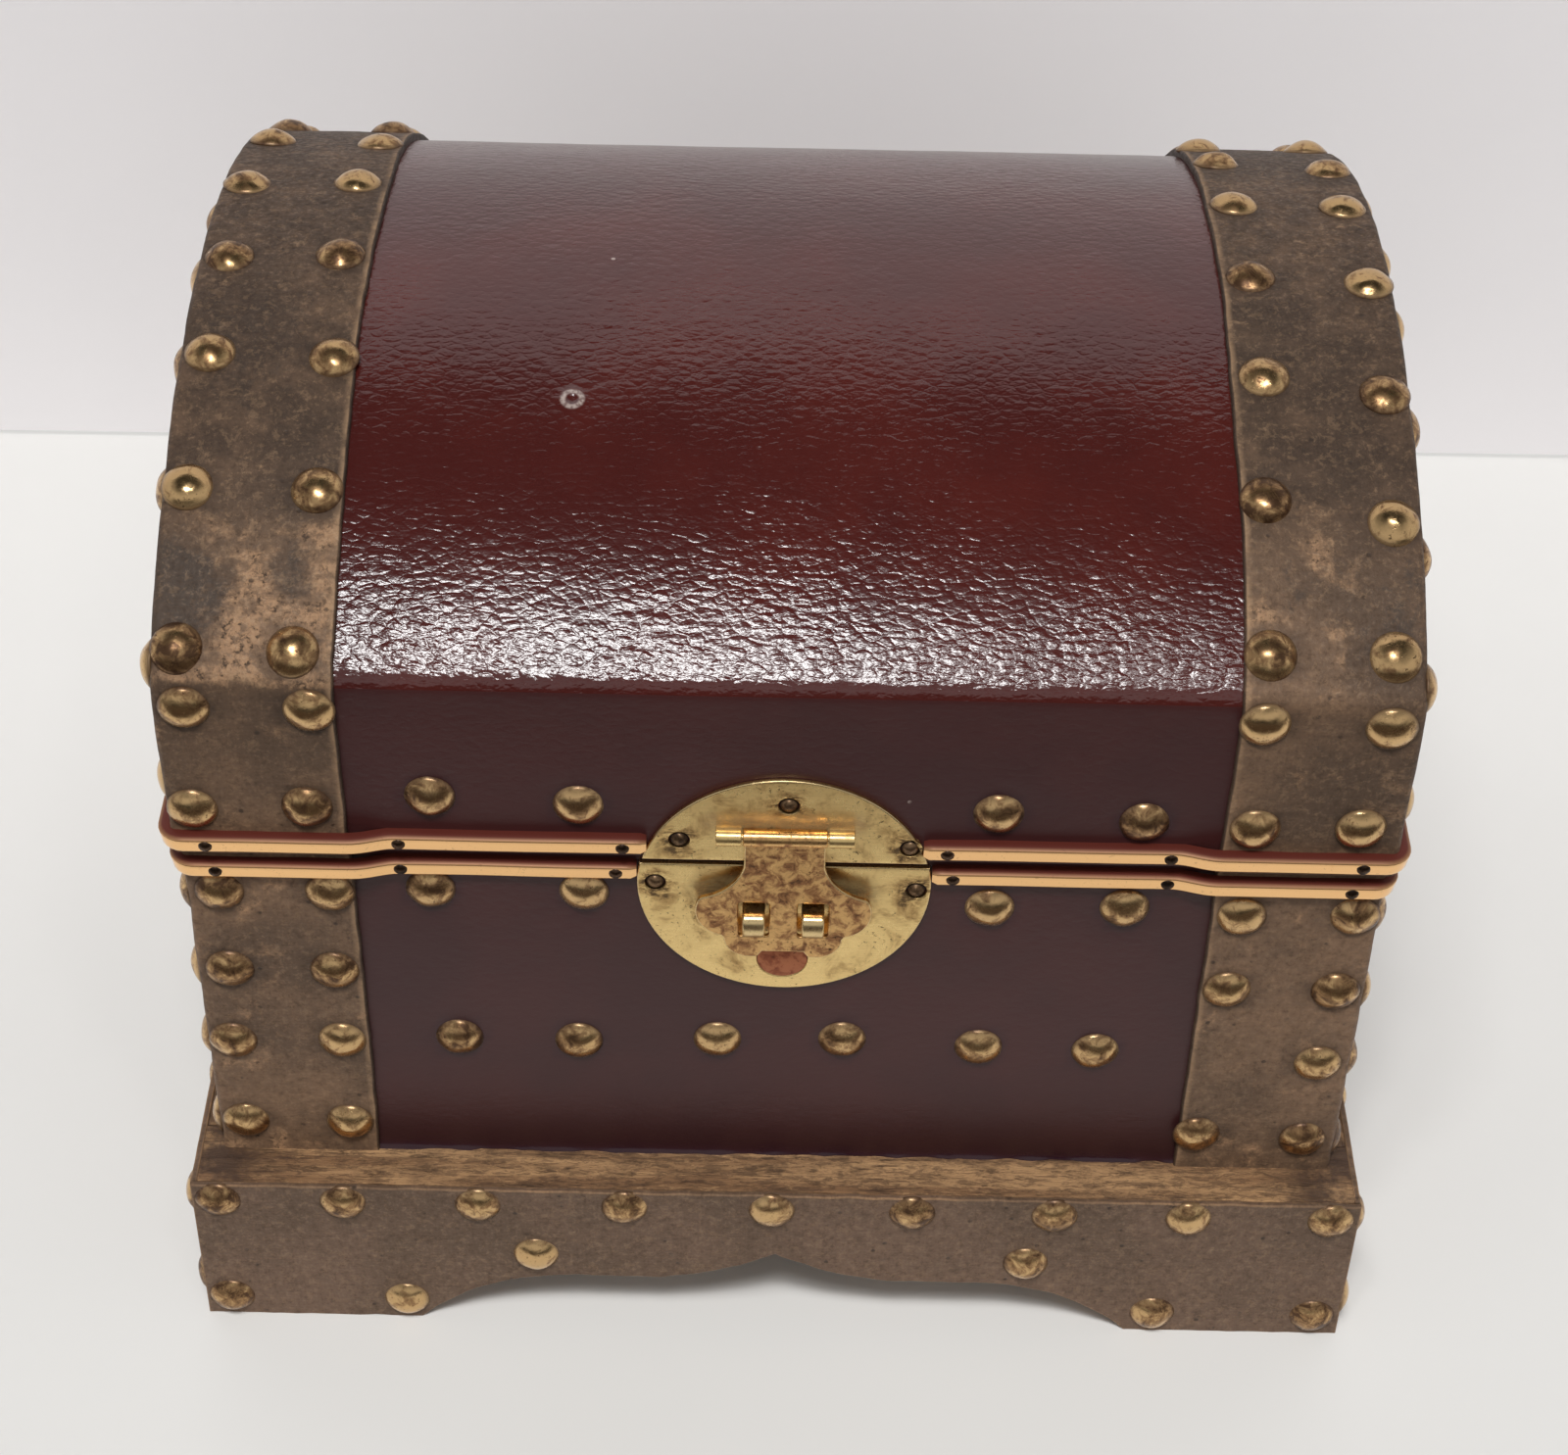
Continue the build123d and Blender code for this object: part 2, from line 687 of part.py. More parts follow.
lid_columns = strap_columns(lid_half_width, lid_strap_width)
dome_places = []
hand_driven = (
    (-1, left_dome_nails, left_rail_strap_nails),
    (1, right_dome_nails, right_rail_strap_nails),
)
for side, dome_nails, rail_nails in hand_driven:
    for x, share in dome_nails:
        dome_places.append(on_dome(side * (lid_half_width - x * lid_strap_width), 0, share))
    points = [(side * (lid_half_width - x * lid_strap_width), up_rail(up)) for x, up in rail_nails]
    dome_places += on_plane(front_plane(half_lid_depth), points)
    for across in lid_columns:
        points = [(side * across, up_rail(share)) for share in (rail_low_row_share, rail_high_row_share)]
        dome_places += on_plane(back_plane(half_lid_depth), points)
set_nails("lid_studs_straps", stud, dome_places)

rail_places = []
points = [(x * lid_half_width, up_rail(up)) for x, up in front_rail_nails]
rail_places += on_plane(front_plane(lid_cover_y), points)
points = [(share * back_free_half, up_rail(rail_low_row_share)) for share in back_rail_nail_shares]
rail_places += on_plane(back_plane(lid_cover_y), points)
set_nails("lid_studs_rails", stud, rail_places)

end_places = []
end_nail_radius = dome_radius - end_strap_width * strap_nail_across_shares[0] - strap_thickness
end_column = half_lid_depth - end_strap_width * strap_nail_across_shares[0] - strap_thickness
for plane_at in (left_plane, right_plane):
    points = []
    for share in end_nail_angle_shares:
        angle = radians(dome_edge_angle * share)
        points.append((end_nail_radius * sin(angle), dome_centre_z + end_nail_radius * cos(angle)))
    points += [(side * end_column, up_rail(share)) for side in (-1, 1) for share in end_rail_row_shares]
    end_places += on_plane(plane_at(lid_half_width), points)
set_nails("lid_studs_ends", stud, end_places)

# Lock: a round plate split at the seam, two lugs, a hinged tongue and its pin
upper_nails = [(x * plate_radius, plate_z + z * plate_radius) for x, z in upper_plate_nail_shares]
lower_nails = [(x * plate_radius, plate_z + z * plate_radius) for x, z in lower_plate_nail_shares]
end_knuckle_x = centre_knuckle_length / 2 + knuckle_gap + end_knuckle_length / 2
lug_places = [(side * slot_spacing / 2, lug_z) for side in (-1, 1)]

with BuildPart() as plate_lower:
    with BuildSketch(front_plane(body_cover_y)):
        with Locations((0, plate_z)):
            Circle(plate_radius)
        with Locations((0, body_rim_z - plate_seam_gap + plate_radius)):
            Rectangle(2 * plate_radius, 2 * plate_radius, mode=Mode.SUBTRACT)
        with Locations(*lower_nails):
            Circle(plate_nail_shank_radius + nail_hole_fit, mode=Mode.SUBTRACT)
        with Locations((0, rivet_z)):
            Circle(rivet_radius + rivet_fit, mode=Mode.SUBTRACT)
    extrude(amount=plate_thickness)
finish(plate_lower, "lock_plate_lower")

with BuildPart() as plate_upper:
    with BuildSketch(front_plane(lid_cover_y)):
        with Locations((0, plate_z)):
            Circle(plate_radius)
        with Locations((0, lid_rim_z - plate_radius)):
            Rectangle(2 * plate_radius, 2 * plate_radius, mode=Mode.SUBTRACT)
        with Locations(*upper_nails):
            Circle(plate_nail_shank_radius + nail_hole_fit, mode=Mode.SUBTRACT)
    extrude(amount=plate_thickness)
    for side in (-1, 1):
        inner_x = side * end_knuckle_x - end_knuckle_length / 2
        with BuildSketch(Plane.YZ.offset(inner_x)):
            with Locations((-barrel_y, barrel_z)):
                Circle(barrel_radius)
            with Locations(((-barrel_y - lid_cover_y) / 2, barrel_z + barrel_radius / 2)):
                Rectangle(barrel_y - lid_cover_y, barrel_radius)
            with Locations((-barrel_y, barrel_z)):
                Circle(lock_pin_radius + pin_clearance, mode=Mode.SUBTRACT)
        extrude(amount=end_knuckle_length)
finish(plate_upper, "lock_plate_upper")

barrel_length = centre_knuckle_length + 2 * (knuckle_gap + end_knuckle_length)
with BuildPart() as lock_pin:
    with BuildSketch(Plane.YZ.offset(-barrel_length / 2)):
        with Locations((-barrel_y, barrel_z)):
            Circle(lock_pin_radius)
    extrude(amount=barrel_length)
finish(lock_pin, "lock_pin")

tongue_tip_z = barrel_z - tongue_drop
wing_z = lug_z + wing_above_lugs
with BuildPart() as hasp_tongue:
    with BuildSketch(front_plane(tongue_back_y)):
        with Locations((0, (barrel_z + wing_z) / 2)):
            Rectangle(neck_width, barrel_z - wing_z)
        with Locations((0, wing_z)):
            RectangleRounded(wing_width, wing_height, wing_round)
        with Locations((0, (wing_z + tongue_tip_z) / 2)):
            RectangleRounded(lobe_width, wing_z - tongue_tip_z, lobe_radius)
        with Locations((0, rivet_z)):
            Circle(thumb_notch_radius, mode=Mode.SUBTRACT)
        with Locations(*lug_places):
            Rectangle(slot_width, slot_height, mode=Mode.SUBTRACT)
    extrude(amount=tongue_thickness)
    with BuildSketch(Plane.YZ.offset(-centre_knuckle_length / 2)):
        with Locations((-barrel_y, barrel_z)):
            Circle(barrel_radius)
    extrude(amount=centre_knuckle_length)
    with BuildSketch(Plane.YZ.offset(-barrel_length / 2)):
        with Locations((-barrel_y, barrel_z)):
            Circle(lock_pin_radius + pin_clearance)
    extrude(amount=barrel_length, mode=Mode.SUBTRACT)
finish(hasp_tongue, "hasp_tongue")

plate_front_y = body_cover_y + plate_thickness
with BuildPart() as lock_lugs:
    for side in (-1, 1):
        with BuildSketch(Plane.YZ.offset(side * slot_spacing / 2 - lug_width / 2)):
            with Locations((-(plate_front_y + lug_y) / 2, lug_z)):
                Rectangle(lug_y - plate_front_y, 2 * lug_radius)
            with Locations((-lug_y, lug_z)):
                Circle(lug_radius)
                Circle(lug_hole_radius, mode=Mode.SUBTRACT)
        extrude(amount=lug_width)
finish(lock_lugs, "lock_lugs")

rivet_sphere = (rivet_radius**2 + rivet_height**2) / (2 * rivet_height)
rivet_bend = asin(rivet_radius / rivet_sphere) / 2
with BuildPart() as lock_rivet:
    with BuildSketch(Plane.YZ):
        with BuildLine():
            dome_mid = (
                -plate_front_y - rivet_height + rivet_sphere * (1 - cos(rivet_bend)),
                rivet_z + rivet_sphere * sin(rivet_bend),
            )
            ThreePointArc(
                (-plate_front_y - rivet_height, rivet_z), dome_mid, (-plate_front_y, rivet_z + rivet_radius)
            )
            Polyline(
                (-plate_front_y, rivet_z + rivet_radius),
                (-body_cover_y, rivet_z + rivet_radius),
                (-body_cover_y, rivet_z),
                (-plate_front_y - rivet_height, rivet_z),
            )
        make_face()
    revolve(axis=Axis((0, 0, rivet_z), (0, 1, 0)))
finish(lock_rivet, "lock_rivet")

set_nails("lock_nails_upper", plate_nail, on_plane(front_plane(lid_cover_y + plate_thickness), upper_nails))
set_nails("lock_nails_lower", plate_nail, on_plane(front_plane(plate_front_y), lower_nails))


# Rear hinges: two butt hinges nailed to the back, their knuckles outside
hinge_third = leaf_width * hinge_knuckle_share
leaf_notch_height = 2 * (hinge_knuckle_radius + leaf_notch_gap)
end_thirds = (-hinge_third, hinge_third)


def leaf_nails(middle_x, upwards):
    """Centres of a leaf's nail holes, on the back plane."""
    shares = zip(hinge_nail_across_shares, hinge_nail_up_shares)
    return [(middle_x + x * leaf_width / 2, seam_z + upwards * z * leaf_height) for x, z in shares]


def draw_leaf(middle_x, upwards, notches):
    """A leaf's face on the back plane, notched round the knuckles of the other leaf."""
    with Locations((middle_x, seam_z + upwards * leaf_height / 2)):
        Rectangle(leaf_width, leaf_height)
    far_corners = vertices().group_by(Axis.Y)[-1 if upwards > 0 else 0]
    fillet(far_corners, leaf_corner)
    with Locations(*[(middle_x + notch, seam_z) for notch in notches]):
        Rectangle(hinge_third + 2 * knuckle_gap, leaf_notch_height, mode=Mode.SUBTRACT)
    with Locations(*leaf_nails(middle_x, upwards)):
        Circle(hinge_nail_shank_radius + nail_hole_fit, mode=Mode.SUBTRACT)


hinge_nail_places = {"body": [], "lid": []}
pin_starts = []
leaf_sets = (
    ("body", -1, (0,), end_thirds),
    ("lid", 1, end_thirds, (0,)),
)
for side_name, side in (("left", 1), ("right", -1)):
    middle_x = side * hinge_middle
    for owner, upwards, notches, knuckles in leaf_sets:
        with BuildPart() as leaf:
            with BuildSketch(back_plane(lid_cover_y)):
                draw_leaf(middle_x, upwards, notches)
            extrude(amount=leaf_thickness)
            for knuckle in knuckles:
                start = -middle_x + knuckle - hinge_third / 2 + knuckle_gap / 2
                with BuildSketch(Plane.YZ.offset(start)):
                    with Locations((hinge_y, seam_z)):
                        Circle(hinge_knuckle_radius)
                extrude(amount=hinge_third - knuckle_gap)
            with BuildSketch(Plane.YZ.offset(-middle_x - leaf_width)):
                with Locations((hinge_y, seam_z)):
                    Circle(hinge_pin_radius + pin_clearance)
            extrude(amount=2 * leaf_width, mode=Mode.SUBTRACT)
        finish(leaf, f"hinge_{owner}_leaf_{side_name}")
        nail_plane = back_plane(lid_cover_y + leaf_thickness)
        hinge_nail_places[owner] += on_plane(nail_plane, leaf_nails(middle_x, upwards))
    pin_starts.append(-middle_x - leaf_width / 2)

with BuildPart() as hinge_pins:
    for start in pin_starts:
        with BuildSketch(Plane.YZ.offset(start)):
            with Locations((hinge_y, seam_z)):
                Circle(hinge_pin_radius)
        extrude(amount=leaf_width)
finish(hinge_pins, "hinge_pins")

for owner, places in hinge_nail_places.items():
    set_nails(f"hinge_nails_{owner}", hinge_nail, places)
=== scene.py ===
"""Treasure chest box: the finish of every surface, and the softened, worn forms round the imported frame.

Metres, +Z up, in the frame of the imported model. The front, with the lock, faces -Y. Depths are measured
inwards from the outer face of the straps, as the chest was laid out.
"""

import logging
import math
import random
from dataclasses import dataclass, field
from enum import Enum
from typing import Iterable, Sequence

import bmesh
import bpy
import numpy as np
from mathutils import Matrix, Vector, noise


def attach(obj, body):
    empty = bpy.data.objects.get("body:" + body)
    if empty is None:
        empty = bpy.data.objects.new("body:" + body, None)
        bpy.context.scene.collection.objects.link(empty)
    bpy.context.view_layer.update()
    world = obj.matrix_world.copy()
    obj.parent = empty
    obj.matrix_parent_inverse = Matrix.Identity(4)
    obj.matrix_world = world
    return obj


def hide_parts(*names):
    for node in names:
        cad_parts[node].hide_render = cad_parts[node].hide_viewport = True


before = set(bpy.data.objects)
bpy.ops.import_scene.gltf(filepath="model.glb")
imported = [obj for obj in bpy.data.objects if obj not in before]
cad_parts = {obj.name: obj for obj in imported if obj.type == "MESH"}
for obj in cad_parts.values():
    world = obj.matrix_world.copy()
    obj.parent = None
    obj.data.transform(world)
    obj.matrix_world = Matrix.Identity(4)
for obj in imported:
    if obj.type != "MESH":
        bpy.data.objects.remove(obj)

LOG = logging.getLogger("treasure_chest")
MM = 0.001
WAVE_SCALE = 0.314  # A wave texture's scale times the width of its waves.

Colour = tuple[float, float, float, float]
Point = tuple[float, float]
Socket = bpy.types.NodeSocket


class Body(Enum):
    """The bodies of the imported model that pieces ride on."""

    CHEST = "chest_body"
    LID = "lid"
    HASP = "hasp"


class Slot(Enum):
    """The record's material slots, named for the kinds of pieces made here."""

    GOLDEN_WOOD = "golden_wood"
    LEATHERETTE = "maroon_leatherette"
    HIDE = "brown_hide_strap"
    NAILS = "antique_brass_nails"
    BEADING = "copper_gold_beading"
    YELLOW_BRASS = "yellow_brass"
    BRONZE = "tarnished_bronze"
    COPPER = "copper_rivet"
    DARK_PINS = "dark_pins"


class Side(Enum):
    """Left or right, seen from the front."""

    LEFT = -1
    RIGHT = 1

    @property
    def label(self) -> str:
        """Its name as the pieces' names have it."""
        return self.name.lower()


class Face(Enum):
    """One of the four upright faces of the chest, with its own X to the right and Y up."""

    FRONT = ((1, 0, 0), (0, -1, 0))
    BACK = ((-1, 0, 0), (0, 1, 0))
    LEFT = ((0, -1, 0), (-1, 0, 0))
    RIGHT = ((0, 1, 0), (1, 0, 0))

    def matrix(self, distance: float) -> Matrix:
        """Place a flat drawing on this face.

        Args:
            distance: how far the drawing's plane stands from the middle of the chest.

        Returns:
            The matrix whose Z points out of the face.
        """
        across, outwards = Vector(self.value[0]), Vector(self.value[1])
        turn = Matrix((across, Vector((0, 0, 1)), outwards)).transposed().to_4x4()
        return Matrix.Translation(outwards * distance) @ turn


def paint(red: int, green: int, blue: int) -> Colour:
    """Turn a colour as a screen shows it into the shaders' own scale.

    Args:
        red: red from 0 to 255.
        green: green from 0 to 255.
        blue: blue from 0 to 255.

    Returns:
        The linear colour with full alpha.
    """
    def open_up(value: float) -> float:
        """Undo the screen's curve for one channel."""
        return value / 12.92 if value <= 0.04045 else ((value + 0.055) / 1.055) ** 2.4

    return open_up(red / 255), open_up(green / 255), open_up(blue / 255), 1.0


def waves(points: np.ndarray, *layers: tuple[float, float, int]) -> np.ndarray:
    """Add up ripples.

    Args:
        points: places, one row each.
        layers: height, width of a bump and seed of each ripple.

    Returns:
        One height for each place.
    """
    return sum(height * ripple(points, size, seed) for height, size, seed in layers)


def ripple(points: np.ndarray, size: float, seed: int) -> np.ndarray:
    """Smooth noise at each point.

    Args:
        points: places, one row each.
        size: width of a bump, in metres.
        seed: picks another part of the endless noise.

    Returns:
        One value from about -1 to 1 for each place.
    """
    shift = Vector((seed * 7.31, seed * 3.17, seed * 5.71))
    return np.array([noise.noise(Vector(p) / size + shift) for p in points])


def smooth_step(value: np.ndarray, low: float, high: float) -> np.ndarray:
    """Ease from 0 at low to 1 at high."""
    share = np.clip((value - low) / (high - low), 0, 1)
    return share * share * (3 - 2 * share)


class Nodes:
    """A node tree, with short methods for what the finishes and the world share."""

    def __init__(self, tree: bpy.types.NodeTree) -> None:
        """Start with an empty tree.

        Args:
            tree: the tree that takes the nodes.
        """
        self.tree = tree
        self.tree.nodes.clear()

    def add(self, kind: str, settings: dict | None = None, inputs: dict | None = None) -> bpy.types.Node:
        """Add a node.

        Args:
            kind: the node's type name.
            settings: the node's own options.
            inputs: values or sockets for its inputs, by name or number.

        Returns:
            The new node.
        """
        node = self.tree.nodes.new(kind)
        for name, value in (settings or {}).items():
            setattr(node, name, value)
        for name, value in (inputs or {}).items():
            self.feed(node.inputs[name], value)
        return node

    def feed(self, target: Socket, value: object) -> None:
        """Link a socket into an input, or set a plain value on it."""
        if isinstance(value, bpy.types.NodeSocket):
            self.tree.links.new(value, target)
        else:
            target.default_value = value

    def spread(self, value: Socket, low: float, high: float, first: float = 0, last: float = 1) -> Socket:
        """Ease a value from first to last between low and high."""
        inputs = {"Value": value, "From Min": low, "From Max": high, "To Min": first, "To Max": last}
        settings = {"interpolation_type": "SMOOTHSTEP"}
        return self.add("ShaderNodeMapRange", settings, inputs).outputs["Result"]

    def math(self, operation: str, first: object, second: object = 0.0) -> Socket:
        """Work out one value from two."""
        return self.add("ShaderNodeMath", {"operation": operation}, {0: first, 1: second}).outputs[0]

    def times(self, first: object, second: object) -> Socket:
        """Multiply two values."""
        return self.math("MULTIPLY", first, second)


class Graph(Nodes):
    """A material's node tree."""

    def __init__(self, name: str) -> None:
        """Start a material with an empty principled surface.

        Args:
            name: the material's name.
        """
        self.material = bpy.data.materials.new(name)
        self.material.use_nodes = True
        super().__init__(self.material.node_tree)
        self.colour: object = (0.8, 0.8, 0.8, 1.0)
        self.surface = self.add("ShaderNodeBsdfPrincipled")
        output = self.add("ShaderNodeOutputMaterial")
        self.feed(output.inputs["Surface"], self.surface.outputs["BSDF"])

    def here(self) -> Socket:
        """The place on the piece in metres."""
        return self.add("ShaderNodeTexCoord").outputs["Object"]

    def place(self, stretch: Sequence[float] = (1, 1, 1)) -> Socket:
        """The place on the piece in metres, stretched along its axes."""
        where = self.here()
        mapped = self.add("ShaderNodeMapping", inputs={"Vector": where, "Scale": stretch})
        return mapped.outputs["Vector"]

    def noise(self, where: Socket, size: float, detail: float = 3, rough: float = 0.55,
              warp: float = 0) -> Socket:
        """Cloudy noise.

        Args:
            where: the place.
            size: width of a cloud, in metres.
            detail: finer layers on top.
            rough: strength of the finer layers.
            warp: how far the clouds are twisted.

        Returns:
            A value around one half.
        """
        inputs = {"Vector": where, "Scale": 1 / size, "Detail": detail, "Roughness": rough,
                  "Distortion": warp}
        return self.add("ShaderNodeTexNoise", inputs=inputs).outputs["Fac"]

    def cells(self, where: Socket, size: float, feature: str = "F1", **extra: float) -> Socket:
        """Distance from the middles of random cells, or from their walls."""
        inputs = {"Vector": where, "Scale": 1 / size, **extra}
        return self.add("ShaderNodeTexVoronoi", {"feature": feature}, inputs).outputs["Distance"]

    def blend(self, share: object, first: object, second: object) -> Socket:
        """Mix two colours.

        Args:
            share: how much of the second shows.
            first: a colour or a socket.
            second: a colour or a socket.

        Returns:
            The mixed colour.
        """
        node = self.add("ShaderNodeMix", {"data_type": "RGBA"})
        colours = [s for s in node.inputs if s.type == "RGBA"]
        self.feed(node.inputs["Factor"], share)
        self.feed(colours[0], first)
        self.feed(colours[1], second)
        return next(s for s in node.outputs if s.type == "RGBA")

    def coat(self, share: object, shade: Colour) -> None:
        """Lay a shade over the colour so far."""
        self.colour = self.blend(share, self.colour, shade)

    def mark(self, name: str) -> Socket:
        """A value that the piece's points carry."""
        return self.add("ShaderNodeAttribute", {"attribute_name": name}).outputs["Fac"]

    def near(self, points: Iterable[Vector], reach: float) -> Socket:
        """One near any of the points, easing to zero at the reach."""
        where = self.here()
        least: object = 1.0
        for point in points:
            gap = self.vector("DISTANCE", where, tuple(point)).outputs["Value"]
            least = self.math("MINIMUM", gap, least)
        return self.spread(least, reach, 0)

    def near_bar(self, middle: Sequence[float], half: float, reach: float) -> Socket:
        """One near a bar that lies along X, easing to zero at the reach."""
        away, none = self.here(), (0, 0, 0)
        steps = (("SUBTRACT", tuple(middle)), ("ABSOLUTE", none), ("SUBTRACT", (half, 0, 0)),
                 ("MAXIMUM", none))
        for operation, other in steps:
            away = self.vector(operation, away, other).outputs["Vector"]
        return self.spread(self.vector("LENGTH", away, none).outputs["Value"], reach, 0)

    def vector(self, operation: str, first: Socket, second: Sequence[float]) -> bpy.types.Node:
        """Work out one vector or length from two vectors."""
        return self.add("ShaderNodeVectorMath", {"operation": operation}, {0: first, 1: second})

    def bump(self, *layers: tuple[Socket, float, float]) -> None:
        """Raise the surface by several heights.

        Args:
            layers: height, strength and depth in metres of each.
        """
        normal = None
        for height, strength, depth in layers:
            inputs = {"Height": height, "Strength": strength, "Distance": depth}
            if normal:
                inputs["Normal"] = normal
            normal = self.add("ShaderNodeBump", inputs=inputs).outputs["Normal"]
        self.feed(self.surface.inputs["Normal"], normal)

    def finish(self, roughness: object, metallic: object = 0.0, **constants: float) -> bpy.types.Material:
        """Set the surface, in the colour so far, and hand over the material.

        Args:
            roughness: roughness.
            metallic: how much of it is metal.
            constants: plain values for other sockets, with spaces as underscores.

        Returns:
            The finished material.
        """
        for name, value in (("Base Color", self.colour), ("Roughness", roughness), ("Metallic", metallic)):
            self.feed(self.surface.inputs[name], value)
        for name, value in constants.items():
            self.surface.inputs[name.replace("_", " ")].default_value = value
        return self.material


@dataclass(frozen=True)
class Leatherette:
    """Maroon leatherette: a pebbled skin, glossy on the dome and rubbed matt on the uprights."""

    name: str = "maroon_leatherette"
    dye: Colour = paint(76, 26, 21)
    deep: Colour = paint(66, 22, 19)
    lacquer: Colour = paint(38, 14, 24)
    dust: Colour = paint(176, 160, 152)
    pebble: float = 1.5 * MM
    swell_size: float = 1.05 * MM
    hollow_size: float = 9 * MM
    patch_size: float = 38 * MM
    firm_size: float = 40 * MM
    speck_gap: float = 12 * MM
    matt: float = 0.2
    lacquered: float = 0.16
    shine: float = 0.8
    relief: float = 1.0
    blister: tuple[Vector, ...] = field(default=(), compare=False)
    blister_reach: float = 1.6 * MM

    def build(self) -> bpy.types.Material:
        """Make the material."""
        g = Graph(self.name)
        place = g.place()
        wide = g.place((0.6, 1, 1))
        patch = g.spread(g.noise(place, self.patch_size, 4, 0.6), 0.36, 0.66)
        g.colour = g.blend(patch, self.deep, self.dye)
        specks = g.spread(g.cells(place, self.speck_gap), 0.04, 0.025)
        specks = g.times(specks, g.spread(g.noise(place, 14 * MM), 0.55, 0.62))
        g.coat(g.times(specks, 0.75), self.dust)
        edge = g.mark("lacquer")
        g.coat(g.times(edge, 0.85), self.lacquer)
        rough = g.math("SUBTRACT", self.matt, g.times(edge, self.matt - self.lacquered))
        # Painted shadow round the nails, and darker towards the foot of the body wrap: the shade mark, laid
        # in the lacquer's colour.
        g.coat(g.times(g.mark("shade"), 0.6), self.lacquer)
        firm = g.spread(g.noise(place, self.firm_size), 0.38, 0.6, 0.55, 1)
        walls = g.spread(g.cells(wide, self.pebble, "DISTANCE_TO_EDGE"), 0, 0.16)
        pebbles = g.times(g.cells(wide, self.pebble, "SMOOTH_F1", Smoothness=0.45), firm)
        swell = g.times(g.noise(wide, self.swell_size, 2, 0.5), firm)
        depth = self.relief * MM
        layers = [(swell, 0.9, 0.205 * depth), (pebbles, 0.9, -0.105 * depth), (walls, 0.5, 0.035 * depth),
                  (g.noise(place, self.hollow_size, 2), 0.5, 0.35 * depth)]
        if self.blister:
            bulge = g.near(self.blister, 2 * self.blister_reach)
            ring = g.times(g.spread(bulge, 0.15, 0.4), g.spread(bulge, 0.8, 0.55))
            broken = g.spread(g.noise(place, 0.7 * MM, 3, 0.6), 0.4, 0.55, 0.35, 0.9)
            g.coat(g.times(ring, broken), self.dust)
            layers.append((g.math("SUBTRACT", bulge, g.spread(bulge, 0.6, 1)), 0.9, 0.5 * MM))
        g.bump(*layers)
        return g.finish(rough, Specular_IOR_Level=self.shine)


